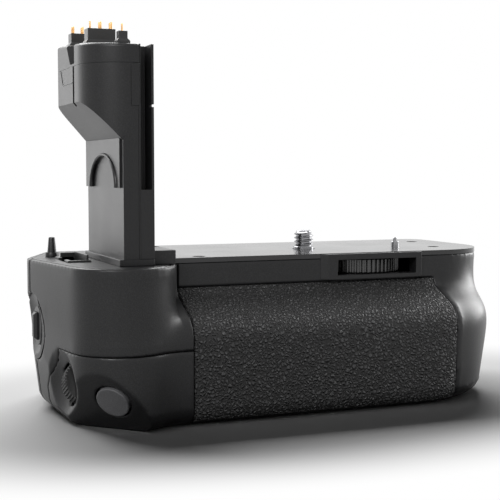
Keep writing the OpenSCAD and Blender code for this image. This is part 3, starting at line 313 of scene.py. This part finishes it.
# Control corner: the separate cover under the left shell that carries the second shutter button and dial.
# It is moulded in the same plastic, and a thin seam shows where the two shells meet.
control_corner = softened(
    copy_of("control_corner", "control_corner_moulding"), voxel=0.4, passes=10, most=120000
)
finished(control_corner, charcoal, "body", "control_corner")

# Front housing: one long moulding with the band under the deck, the hollow below it and the swelling
# right end. The rubber skin lies in its shallow pocket.
right_end = ((53.2, -60, 5), (80, 4.5, 44))
front_housing = softened(
    copy_of("front_housing", "front_housing_moulding"), voxel=0.5, passes=5, most=190000, broad=right_end
)
finished(front_housing, charcoal, "body", "front_housing")

# Rear housing: the back half of the case, screwed to the front half along a seam at the ends.
# It holds the tray's opening and the holes of the three rear buttons.
rear_housing = softened(copy_of("rear_housing", "rear_housing_moulding"), voxel=0.45, passes=3, most=190000)
finished(rear_housing, charcoal, "body", "rear_housing")

# Rubber grip: a moulded rubber skin with a pebbled leather grain, glued into the front housing's pocket.
# Its edges are rolled over where they meet the plastic.
hide, given, result = new_group("hide_grain", (("Pebble", 900), ("Twist", 0.0011)), ("Crown",))
place = hide.nodes.new("ShaderNodeTexCoord")
drift = hide.nodes.new("ShaderNodeTexNoise")
drift.inputs["Scale"].default_value = 700
drift.inputs["Detail"].default_value = 1
hide.links.new(place.outputs["Object"], drift.inputs["Vector"])
centred = hide.nodes.new("ShaderNodeVectorMath")
centred.operation = "SUBTRACT"
centred.inputs[1].default_value = (0.5, 0.5, 0.5)
hide.links.new(drift.outputs["Color"], centred.inputs[0])
pulled = hide.nodes.new("ShaderNodeVectorMath")
pulled.operation = "SCALE"
hide.links.new(centred.outputs[0], pulled.inputs[0])
hide.links.new(given.outputs["Twist"], pulled.inputs["Scale"])
moved = hide.nodes.new("ShaderNodeVectorMath")
moved.operation = "ADD"
hide.links.new(place.outputs["Object"], moved.inputs[0])
hide.links.new(pulled.outputs[0], moved.inputs[1])
cells = hide.nodes.new("ShaderNodeTexVoronoi")
cells.feature = "DISTANCE_TO_EDGE"
hide.links.new(moved.outputs[0], cells.inputs["Vector"])
hide.links.new(given.outputs["Pebble"], cells.inputs["Scale"])
pebble = hide.nodes.new("ShaderNodeMapRange")
pebble.interpolation_type = "SMOOTHERSTEP"
pebble.inputs["From Min"].default_value = 0.02
pebble.inputs["From Max"].default_value = 0.34
hide.links.new(cells.outputs["Distance"], pebble.inputs["Value"])
hide.links.new(pebble.outputs["Result"], result.inputs["Crown"])


def pebbled_rubber(name, painted_shade_crease, crown, rough, depth):
    """Rubber with leather pebbles: the first colour is painted shade between the pebbles, the second a
    painted highlight on them.

    The pebbles are depth millimetres high.
    """
    material = bpy.data.materials.new(name)
    material.use_nodes = True
    nodes, links = material.node_tree.nodes, material.node_tree.links
    surface = nodes["Principled BSDF"]
    surface.inputs["Specular IOR Level"].default_value = 0.45
    texture = nodes.new("ShaderNodeGroup")
    texture.node_tree = hide
    # Painted light: near black between the pebbles as painted shade, and lighter on their tops as a painted
    # highlight
    colour = nodes.new("ShaderNodeMix")
    colour.data_type = "RGBA"
    colour.inputs["A"].default_value = (*painted_shade_crease, 1)
    colour.inputs["B"].default_value = (*crown, 1)
    links.new(texture.outputs["Crown"], colour.inputs["Factor"])
    links.new(colour.outputs["Result"], surface.inputs["Base Color"])
    sheen = nodes.new("ShaderNodeMapRange")
    sheen.inputs["To Min"].default_value = rough + 0.2
    sheen.inputs["To Max"].default_value = rough
    links.new(texture.outputs["Crown"], sheen.inputs["Value"])
    links.new(sheen.outputs["Result"], surface.inputs["Roughness"])
    relief = nodes.new("ShaderNodeBump")
    relief.inputs["Distance"].default_value = depth * MM
    links.new(texture.outputs["Crown"], relief.inputs["Height"])
    links.new(relief.outputs["Normal"], surface.inputs["Normal"])
    return material


# The near black of the creases is painted shade, and the lighter tops of the pebbles are a painted highlight
rubber = pebbled_rubber(
    "pebbled_rubber", (0.003, 0.003, 0.003), (0.062, 0.062, 0.064), rough=0.42, depth=0.8
)
rubber_grip = softened(copy_of("rubber_grip", "rubber_grip_skin"), voxel=0.36, passes=12, most=150000)
finished(rubber_grip, rubber, "body", "rubber_grip")

# Thumb rest: a small pad of the same rubber, glued into a recess at the back beside the buttons.
# Its rim is rounded, so that the thumb finds it without looking.
thumb_rest = rounded(copy_of("thumb_rest", "thumb_rest_pad"), 0.5, steps=4)
finished(thumb_rest, rubber, "body", "thumb_rest")

# Deck plate: the flat top that the camera's base lies on, moulded smoother than the case so that it
# slides on easily. Four screws hold it down.
satin = moulded_plastic(
    "satin_plastic", (0.014, 0.014, 0.015), (0.022, 0.022, 0.023), rough=0.17, grain=0.3, depth=0.003
)
top_deck = rounded(copy_of("top_deck", "deck_plate"), 0.3)
finished(top_deck, satin, "body", "top_deck")

# Left cap: the lid over the hand bulge, let into the shell's rim. The stalk, the guide peg and the
# holder for the camera's battery door stand on it.
left_cap = rounded(copy_of("left_cap", "left_cap_lid"), 0.3)
finished(left_cap, charcoal, "body", "left_cap")

# Screws: small cross-slotted screws of blackened steel in the deck, and larger ones under the base.
# They hold the two plates to the bosses of the case.
working, given, result = new_group("working_marks", (("Fineness", 3000),), ("Mark",))
place = working.nodes.new("ShaderNodeTexCoord")
stretch = working.nodes.new("ShaderNodeMapping")
stretch.inputs["Scale"].default_value = (0.1, 1, 1)
working.links.new(place.outputs["Object"], stretch.inputs["Vector"])
marks = working.nodes.new("ShaderNodeTexNoise")
marks.inputs["Detail"].default_value = 4
working.links.new(stretch.outputs["Vector"], marks.inputs["Vector"])
working.links.new(given.outputs["Fineness"], marks.inputs["Scale"])
working.links.new(marks.outputs["Fac"], result.inputs["Mark"])


def worked_metal(name, colour, rough, scratch):
    """Metal with fine turning or rolling marks along X, as wide as scratch millimetres."""
    material = bpy.data.materials.new(name)
    material.use_nodes = True
    nodes, links = material.node_tree.nodes, material.node_tree.links
    surface = nodes["Principled BSDF"]
    surface.inputs["Base Color"].default_value = (*colour, 1)
    surface.inputs["Metallic"].default_value = 1
    texture = nodes.new("ShaderNodeGroup")
    texture.node_tree = working
    texture.inputs["Fineness"].default_value = 1 / (scratch * MM)
    sheen = nodes.new("ShaderNodeMapRange")
    sheen.inputs["To Min"].default_value = rough - 0.08
    sheen.inputs["To Max"].default_value = rough + 0.12
    links.new(texture.outputs["Mark"], sheen.inputs["Value"])
    links.new(sheen.outputs["Result"], surface.inputs["Roughness"])
    lines = nodes.new("ShaderNodeBump")
    lines.inputs["Distance"].default_value = 0.01 * MM
    links.new(texture.outputs["Mark"], lines.inputs["Height"])
    links.new(lines.outputs["Normal"], surface.inputs["Normal"])
    return material


def paint(material, slot, *nodes):
    """Puts a material on CAD nodes that stay as they are."""
    for node in nodes:
        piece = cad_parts[node]
        for place in piece.material_slots:
            place.material = material


black_steel = worked_metal("blackened_steel", (0.05, 0.05, 0.055), rough=0.42, scratch=0.4)
paint(black_steel, "steel", "deck_screws", "base_screws")

# Wheel frame: a slim moulded bezel in the case's plastic, pushed into the front housing.
# The thumbwheel's rim shows in its window.
wheel_frame = rounded(copy_of("wheel_frame", "wheel_window_frame"), 0.3)
finished(wheel_frame, charcoal, "body", "wheel_frame")

# Thumbwheel: a ribbed wheel of hard, rather glossy black plastic on a steel axle.
# Its small gear turns the stud.
thumbwheel = rounded(copy_of("thumbwheel", "ribbed_thumbwheel"), 0.3, steps=4, angle=24)
glossy = moulded_plastic(
    "wheel_plastic", (0.016, 0.016, 0.016), (0.03, 0.03, 0.03), rough=0.24, grain=0.25, depth=0.006, shine=0.8
)
finished(thumbwheel, glossy, "wheel", "thumbwheel")

# Attachment stud: a turned steel stud with a rolled thread that screws into the camera's tripod socket.
# A collar passes through the deck, and a flange under it takes the pull.


def turned(name, rings, sides=40):
    """A lathe-turned piece about Z: a disc is extruded and scaled from ring to ring of (radius, height)."""
    radius, height = rings[0]
    bpy.ops.object.select_all(action="DESELECT")
    bpy.ops.mesh.primitive_circle_add(
        vertices=sides, radius=radius * MM, fill_type="NGON", location=(0, 0, height * MM)
    )
    piece = bpy.context.object
    piece.name = name
    bpy.ops.object.transform_apply(location=True, rotation=True, scale=True)
    bpy.ops.object.mode_set(mode="EDIT")
    bpy.ops.mesh.select_all(action="SELECT")
    for wide, high in rings[1:]:
        bpy.ops.mesh.extrude_region_move(TRANSFORM_OT_translate={"value": (0, 0, (high - height) * MM)})
        bpy.ops.transform.resize(
            value=(wide / radius, wide / radius, 1), center_override=(0, 0, high * MM)
        )
        radius, height = wide, high
    bpy.ops.mesh.select_all(action="SELECT")
    bpy.ops.mesh.normals_make_consistent(inside=False)
    bpy.ops.object.mode_set(mode="OBJECT")
    bpy.ops.object.shade_smooth_by_angle(angle=math.radians(32))
    return piece


def put(piece, place, outward=(0, 0, 1)):
    """Turns a piece's Z to outward, moves it to a place in millimetres, and applies both to its mesh."""
    turn = Vector(outward).to_track_quat("Z", "Y").to_matrix().to_4x4()
    piece.matrix_world = Matrix.Translation(Vector(place) * MM) @ turn
    select_only(piece)
    bpy.ops.object.transform_apply(location=True, rotation=True, scale=True)
    return piece


def joined(*pieces):
    """One piece made of several, with the name of the first."""
    select_only(*pieces)
    bpy.ops.object.join()
    return bpy.context.object


stud_at = (14.5, 4.0, 0)
pitch, turns = 1.27, 3.25
stud = turned("threaded_stud", (
    (2.4, 33.1), (2.4, 45.4), (4.5, 45.4), (4.575, 45.5), (4.575, 45.7), (4.5, 45.75), (3.375, 45.75),
    (3.375, 48.2), (3.15, 48.4), (2.55, 48.4), (2.55, 53.1), (2.2, 53.6), (1.9, 53.78),
))
bpy.ops.object.select_all(action="DESELECT")
bpy.ops.mesh.primitive_plane_add(
    size=1 * MM, location=(2.85 * MM, 0, 48.75 * MM), rotation=(math.pi / 2, 0, 0)
)
thread = bpy.context.object
bpy.ops.object.transform_apply(location=True, rotation=True, scale=True)
# Root and crest of the thread's lower flank, then of its upper flank, as radius and height
flanks = ((2.4, 48.3), (3.16, 48.62), (2.4, 49.2), (3.16, 48.86))
corners = sorted(thread.data.vertices, key=lambda v: (round(v.co.z / MM, 3), v.co.x))
for corner, (wide, high) in zip(corners, flanks):
    corner.co = (wide * MM, 0, high * MM)
winding = thread.modifiers.new("winding", "SCREW")
winding.axis = "Z"
winding.angle = 2 * math.pi * turns
winding.screw_offset = pitch * turns * MM
winding.steps = winding.render_steps = 130
winding.use_smooth_shade = True
apply_all(thread)
bpy.ops.object.mode_set(mode="EDIT")
bpy.ops.mesh.select_all(action="SELECT")
bpy.ops.mesh.remove_doubles(threshold=0.002 * MM)
bpy.ops.mesh.normals_make_consistent(inside=False)
bpy.ops.object.mode_set(mode="OBJECT")
bpy.ops.object.shade_smooth_by_angle(angle=math.radians(30))
stud = put(joined(stud, thread), stud_at)
bright = worked_metal("bright_steel", (0.27, 0.27, 0.28), rough=0.2, scratch=0.3)
finished(stud, bright, "stud", "attachment_stud")

# Locating pin: a stepped steel pin, turned and pressed into the deck.
# It enters a hole in the camera's base and keeps the grip from turning on its stud.
pin_at = (44.9, -3.2, 0)
locating_pin = turned("stepped_pin", (
    (1.9, 46.02), (1.9, 47.4), (1.8, 47.5), (1.32, 47.52), (1.3, 49.5), (1.15, 49.7), (0.68, 49.75),
    (0.65, 50.7), (0.45, 50.98), (0.2, 51.0),
), 32)
finished(put(locating_pin, pin_at), bright, "body", "locating_pin")

# Guide peg: a tapered plastic peg on a low collar, moulded to stand on the cap.
# It guides the camera's base while the stalk goes in.
peg_at = (-67.5, 13.3, 0)
guide_peg = turned("taper_peg", (
    (1.8, 44.7), (1.8, 46.55), (2.05, 46.6), (2.05, 47.7), (1.9, 47.95), (1.42, 48.0), (1.36, 48.3),
    (0.98, 52.3), (0.86, 52.6), (0.4, 52.7),
), 40)
finished(put(guide_peg, peg_at), charcoal, "body", "guide_peg")

# Door holder: a moulded box in the cap, where the camera's battery door is kept.
# Two thin lips stand on its walls, beside the slot and behind it.


def block_of(name, low, high):
    """A cube between two corners in millimetres, ready to be shaped."""
    bpy.ops.object.select_all(action="DESELECT")
    bpy.ops.mesh.primitive_cube_add(size=1, location=[(a + b) / 2 * MM for a, b in zip(low, high)])
    piece = bpy.context.object
    piece.name = name
    piece.scale = [(b - a) * MM for a, b in zip(low, high)]
    bpy.ops.object.transform_apply(location=True, rotation=True, scale=True)
    return piece


black = moulded_plastic(
    "black_plastic", (0.010, 0.010, 0.010), (0.018, 0.018, 0.018), rough=0.38, grain=0.25, depth=0.01
)
door_holder = rounded(copy_of("door_clips", "door_holder"), 0.2)
long_lip = rounded(block_of("long_lip", (-62.1, -9.6, 44), (-61.4, 6.4, 48.6)), 0.18, angle=40)
short_lip = rounded(block_of("short_lip", (-66.4, 5.8, 44), (-61.7, 6.5, 48.3)), 0.18, angle=40)
door_holder = joined(door_holder, long_lip, short_lip)
finished(door_holder, black, "body", "door_clips")

# Stalk foot: the flange and blocks that tie the contact stalk to the cap, in the case's plastic.
# The flange lies on the cap, and the blocks stand against the stalk's right half.
stalk_foot = rounded(copy_of("stalk_foot", "stalk_foot_flange"), 0.2)
finished(stalk_foot, charcoal, "body", "stalk_foot")

# Stalk: two moulded halves, closed on each other along an upright seam, that reach into the camera's
# battery chamber. The left half widens to the head and has a ribbed arch, and the right half a deep channel.


def pick_edges(piece, wanted):
    """Selects the edges of a piece whose two ends answer to wanted, and enters edit mode."""
    select_only(piece)
    bpy.ops.object.mode_set(mode="EDIT")
    bpy.ops.mesh.select_mode(type="EDGE")
    bpy.ops.mesh.select_all(action="DESELECT")
    bpy.ops.object.mode_set(mode="OBJECT")
    points = piece.data.vertices
    for edge in piece.data.edges:
        edge.select = wanted(points[edge.vertices[0]].co, points[edge.vertices[1]].co)
    bpy.ops.object.mode_set(mode="EDIT")


def bevelled(piece, wanted, width, steps=1):
    """Bevels the edges of a piece whose two ends answer to wanted."""
    pick_edges(piece, wanted)
    bpy.ops.mesh.bevel(offset=width * MM, segments=steps, affect="EDGES")
    bpy.ops.object.mode_set(mode="OBJECT")


def leaned(piece, wanted, shift):
    """Moves the edges of a piece that answer to wanted along Y, so that its side leans."""
    pick_edges(piece, wanted)
    bpy.ops.transform.translate(value=(0, shift * MM, 0))
    bpy.ops.object.mode_set(mode="OBJECT")


def cut(piece, cutter):
    """Takes the form of the cutter out of a piece."""
    taking = piece.modifiers.new("taking", "BOOLEAN")
    taking.operation = "DIFFERENCE"
    taking.solver = "EXACT"
    taking.object = cutter
    apply_all(piece)
    bpy.data.objects.remove(cutter)
    return piece


stalk_left = rounded(copy_of("stalk_left", "stalk_left_half"), 0.45)
seam_x, head_top = -51.5, 103.15
panel = block_of("seam_panel", (seam_x - 2.4, -30.3, 91.4), (seam_x, -29.6, head_top))
under_top = (head_top - 0.15) * MM
bevelled(panel, lambda a, b: max(a.x, b.x) < (seam_x - 2.3) * MM and min(a.z, b.z) > under_top, 1.2, 5)
rounded(panel, 0.16, steps=2, angle=40)
arch_foot, arch_flatness = 68.5, 0.66
bpy.ops.object.select_all(action="DESELECT")
bpy.ops.mesh.primitive_torus_add(
    major_radius=14.4 * MM, minor_radius=0.8 * MM, major_segments=72, minor_segments=12,
    location=(-56.8 * MM, -10 * MM, arch_foot * MM), rotation=(0, math.pi / 2, 0),
)
arch_rib = bpy.context.object
bpy.ops.object.transform_apply(location=True, rotation=True, scale=True)
bpy.ops.object.mode_set(mode="EDIT")
bpy.ops.mesh.select_all(action="SELECT")
bpy.ops.transform.resize(value=(1, 1, arch_flatness), center_override=(0, 0, arch_foot * MM))
bpy.ops.mesh.bisect(
    plane_co=(0, 0, arch_foot * MM), plane_no=(0, 0, 1), clear_inner=True, clear_outer=False, use_fill=True
)
bpy.ops.object.mode_set(mode="OBJECT")
bpy.ops.object.shade_smooth_by_angle(angle=math.radians(40))
seam_lip = block_of("seam_lip", (-51.85, -30.22, 48.6), (-51.45, -29.8, 103.1))
step_line = block_of("step_line", (-66.14, -11.3, 98.45), (-65.7, 1.3, 98.8))
step_rise = block_of("step_rise", (-66.14, 1.0, 98.45), (-65.7, 1.35, 103.1))
leaned(step_rise, lambda a, b: min(a.z, b.z) > under_top, 2.9)
for ridge in (seam_lip, step_line, step_rise):
    rounded(ridge, 0.12, steps=2, angle=40)
stalk_left = joined(stalk_left, panel, arch_rib, seam_lip, step_line, step_rise)
finished(stalk_left, charcoal, "body", "stalk_left")
stalk_right = copy_of("stalk_right", "stalk_right_half")
cut(stalk_right, block_of("channel", (-51.1, -31, 68), (-48.05, -23.6, 112)))
rounded(stalk_right, 0.22, steps=2, angle=40)
finished(stalk_right, charcoal, "body", "stalk_right")

# Stalk crown: the cap of the head, pressed onto the left half. Its face rises to the back, its top edge is
# well rounded, and a leaning notch is cut in its left side.
low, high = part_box("stalk_crown")
near = 0.01 * MM
front_r, back_r, crown_rise = 12.98, 3.2, 2.4
crown = block_of("head_crown", low / MM, high / MM)
bevelled(crown, lambda a, b: max(a.x, b.x) < low.x + near and max(a.y, b.y) < low.y + near, front_r, 16)
bevelled(crown, lambda a, b: max(a.x, b.x) < low.x + near and min(a.y, b.y) > high.y - near, back_r, 8)
for corner in crown.data.vertices:
    if corner.co.z > high.z - near:
        corner.co.z -= crown_rise * MM * (high.y - corner.co.y) / (high.y - low.y)
bevelled(crown, lambda a, b: min(a.z, b.z) > low.z + 4 * MM, 0.9, 5)
notch = block_of("notch", (-67, -13.2, 104), (-62.8, -8.3, 112))
leaned(notch, lambda a, b: min(a.y, b.y) > -8.4 * MM and min(a.z, b.z) > 111 * MM, 6.3)
cut(crown, notch)
rounded(crown, 0.22, steps=2, angle=40)
finished(crown, charcoal, "body", "stalk_crown")

# Contact blocks: three black insulators on the crown, one for each set of contacts. Each widens to a foot
# where it goes through the crown.
lip, foot, flare = 0.6 * MM, 0.8 * MM, 0.7 * MM
for node in ("rear_contact_block", "middle_contact_block", "front_contact_block"):
    low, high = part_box(node)
    around = Vector((lip, lip, 0))
    block = block_of(
        node + "_insulator", (low - around) / MM, (Vector((high.x, high.y, low.z + foot)) + around) / MM
    )
    select_only(block)
    bpy.ops.object.mode_set(mode="EDIT")
    bpy.ops.mesh.select_mode(type="FACE")
    bpy.ops.mesh.select_all(action="DESELECT")
    bpy.ops.object.mode_set(mode="OBJECT")
    for face in block.data.polygons:
        face.select = face.normal.z > 0.9
    bpy.ops.object.mode_set(mode="EDIT")
    size = high - low
    middle = (low + high) / 2
    bpy.ops.mesh.extrude_region_move(TRANSFORM_OT_translate={"value": (0, 0, flare)})
    bpy.ops.transform.resize(
        value=(size.x / (size.x + 2 * lip), size.y / (size.y + 2 * lip), 1), center_override=middle
    )
    bpy.ops.mesh.extrude_region_move(TRANSFORM_OT_translate={"value": (0, 0, size.z - foot - flare)})
    bpy.ops.object.mode_set(mode="OBJECT")
    rounded(block, 0.13, steps=2, angle=24)
    finished(block, black, "body", node)

# Contact pins: ten sprung pins with round noses, turned in brass and plated with gold.
# All of them sink together into the blocks.


def twin_of(piece, name):
    """A copy of a piece with its own mesh."""
    twin = piece.copy()
    twin.data = piece.data.copy()
    twin.name = name
    scene.collection.objects.link(twin)
    return twin


gold = worked_metal("gold_plate", (0.52, 0.30, 0.12), rough=0.3, scratch=0.2)
first_pin = turned("gold_pin", (
    (0.4, -14.3), (0.4, -2.3), (0.36, -2.2), (0.26, -2.18), (0.25, -0.28), (0.2, -0.1), (0.1, -0.02),
    (0.04, 0),
), 16)
# Height of each set's noses, and where its pins stand
pin_sets = (
    (117.03, ((-61.45, 6.4), (-58.55, 6.4), (-61.45, 8.4), (-58.55, 8.4))),
    (116.35, ((-61.15, -13), (-58, -13), (-54.85, -13), (-58, -11), (-54.85, -11))),
    (114.49, ((-55, -25),)),
)
contact_pins = joined(*(
    put(twin_of(first_pin, "gold_contact_pins"), (x, y, tip)) for tip, places in pin_sets for x, y in places
))
bpy.data.objects.remove(first_pin)
finished(contact_pins, gold, "pins", "contact_pins")

# Shutter button: a plastic disc with a shallow dish for the finger, sunk in a round well of the corner.
# Its flange keeps it behind the wall, and its stem presses the switch.
button_at = (-60.4448, -32.1871, 9)
button_out = (-0.612372, -0.612372, -0.5)
shutter = turned("shutter_button_cap", (
    (1.5, -5.4), (1.5, -4.3), (6.2, -4.3), (6.2, -3.3), (5.0, -3.3), (5.0, 0.2), (4.95, 0.36), (4.8, 0.47),
    (4.6, 0.5), (4.3, 0.46), (3.4, 0.34), (2.0, 0.26), (0.8, 0.23),
), 96)
# Its light grey, much lighter than the case, is painted light: it stands for the light that its face reflects
# from below
painted_light_button = moulded_plastic(
    "button_plastic", (0.10, 0.10, 0.104), (0.14, 0.14, 0.145), rough=0.34, grain=0.3, depth=0.008, shine=0.6
)
put(shutter, button_at, button_out)
finished(shutter, painted_light_button, "shutter", "shutter_button")

# Control dial: a finely ribbed wheel of black plastic on a steel axle, half hidden in its slot.
# The finger on the shutter button reaches it and rolls it.
dial_at, dial_out = (-63.8, -16.5, 12), (0, -0.906308, 0.422618)
ribs, dial_r, dial_w, rib_d, bore_r = 46, 7.2, 5, 0.45, 1.35
bpy.ops.object.select_all(action="DESELECT")
bpy.ops.mesh.primitive_cylinder_add(vertices=4 * ribs, radius=dial_r * MM, depth=dial_w * MM)
control_dial = bpy.context.object
control_dial.name = "ribbed_dial"
for corner in control_dial.data.vertices:
    step = round(math.atan2(corner.co.y, corner.co.x) / (math.pi / (2 * ribs)))
    if step % 4 in (2, 3):
        corner.co.x *= 1 - rib_d / dial_r
        corner.co.y *= 1 - rib_d / dial_r
bpy.ops.object.select_all(action="DESELECT")
bpy.ops.mesh.primitive_cylinder_add(vertices=32, radius=bore_r * MM, depth=2 * dial_w * MM)
cut(control_dial, bpy.context.object)
rounded(control_dial, 0.1, steps=2, angle=30)
put(control_dial, dial_at, dial_out)
finished(control_dial, black, "dial", "control_dial")

# Power dish and knob: a round recessed plate in the left end, and a low knob in it with a bevelled bar.
# Both are moulded in the case's plastic, and the knob's spindle goes through the plate to the switch.
power_at = (-70.5, 6.5, 26.2)
power_dish = rounded(copy_of("power_dish", "power_dish_plate"), 0.3, angle=35)
finished(power_dish, charcoal, "body", "power_dish")
knob_disc = turned("power_bar_knob", (
    (1.1, -4.0), (1.1, 3.0), (5.9, 3.0), (5.9, 3.1), (5.8, 3.18), (5.6, 3.2), (0.5, 3.2),
), 64)
put(knob_disc, power_at, (-1, 0, 0))
knob_bar = block_of("knob_bar", (-75.1, 4.6, 22.0), (-73.5, 8.4, 30.4))
bevelled(knob_bar, lambda a, b: max(a.x, b.x) < -75 * MM, 0.8)
rounded(knob_bar, 0.16, steps=2, angle=24)
power_knob = joined(knob_disc, knob_bar)
finished(power_knob, charcoal, "power", "power_knob")

# Rear buttons: three round push buttons with domed faces, moulded in smooth plastic.
# Each has a flange behind the wall and lies on a switch of the button board.
first_at, spacing = (-57, 36.5, 39), 9
keys = (("start", "start_button"), ("lock_key", "lock_button"), ("select", "select_button"))
first_button = turned("push_button", (
    (3.6, -4.0), (3.6, -3.2), (2.8, -3.2), (2.8, 0.35), (2.7, 0.52), (2.45, 0.62), (1.6, 0.68), (0.5, 0.7),
), 40)
for order, (body, node) in enumerate(keys):
    button = twin_of(first_button, node + "_cap")
    put(button, (first_at[0] + spacing * order, *first_at[1:]), (0, 1, 0))
    finished(button, satin, body, node)
bpy.data.objects.remove(first_button)

# Tray panel: the door at the back that closes the bay, moulded in the case's plastic.
# It sits on the tray's end and is drawn out with it.
tray_panel = rounded(copy_of("tray_panel", "tray_door"), 0.35)
finished(tray_panel, charcoal, "tray", "tray_panel")

# Tray lock: a round turn knob with a bevelled finger bar in the middle of the door, and a spindle through it.
# The thin tongue on the spindle's end stands in a groove of the rear housing when the knob is turned.
lock_x, lock_z, back_y = 7.45, 19.75, 36.5
lock_disc = turned("tray_lock_knob", (
    (2, -2.85), (2, -0.7), (7.9, -0.7), (8, -0.6), (8, -0.2), (7.8, 0), (6.9, 0), (6.7, -0.25), (0.5, -0.25),
), 64)
put(lock_disc, (lock_x, back_y, lock_z), (0, 1, 0))
lock_bar = block_of(
    "lock_bar", (lock_x - 7.4, back_y - 0.5, lock_z - 1.5), (lock_x + 7.4, back_y + 1.5, lock_z + 1.5)
)
bevelled(lock_bar, lambda a, b: min(a.y, b.y) > (back_y + 1.4) * MM, 0.5)
rounded(lock_bar, 0.2, angle=24)
tongue = block_of("tongue", (lock_x - 12.8, 33.9, lock_z - 1.4), (lock_x + 12.8, 34.3, lock_z + 1.4))
lock_knob = joined(lock_disc, lock_bar, rounded(tongue, 0.1, steps=2))
finished(lock_knob, satin, "tray_lock", "lock_knob")

# Battery tray: the open box that two packs lie in, moulded in black plastic.
# It slides in the bay, and leaf contacts in its cells meet those of the bay.
tray = rounded(copy_of("battery_tray", "pack_tray"), 0.3)
finished(tray, black, "tray", "battery_tray")

# Base plate: the flat sole in the case's plastic, held by four screws, with the steel tripod bush in it.
# A steel chassis plate above it carries the pull, and the stud turns in a brass bush.
base_plate = rounded(copy_of("base_plate", "sole_plate"), 0.3)
finished(base_plate, charcoal, "body", "base_plate")
brass = worked_metal("brass", (0.55, 0.42, 0.2), rough=0.32, scratch=0.3)
paint(bright, "bright_metal", "tripod_bush", "chassis_plate")
paint(brass, "bright_metal", "stud_bush")

# Works inside: the moulded bay, the cut steel gear and the axles, the leaf contacts, the lacquered boards
# with their switches, and the amber film of the flat cable that climbs the stalk.
steel = worked_metal("machined_steel", (0.42, 0.42, 0.44), rough=0.34, scratch=0.3)
paint(steel, "steel", "wheel_axle", "stud_gear", "dial_axle")
paint(gold, "gold_contact", "bay_contacts", "tray_contacts")
paint(black, "inner_plastic", "battery_bay", "dial_bracket", "power_switch")
lacquer = moulded_plastic(
    "board_lacquer", (0.012, 0.06, 0.026), (0.02, 0.085, 0.036), rough=0.3, grain=0.9, depth=0.01
)
paint(lacquer, "board", "main_board", "pin_board", "button_board", "shutter_switch")
amber = moulded_plastic(
    "amber_film", (0.36, 0.17, 0.045), (0.42, 0.21, 0.06), rough=0.3, grain=1.2, depth=0.004
)
paint(amber, "cable", "flat_cable")
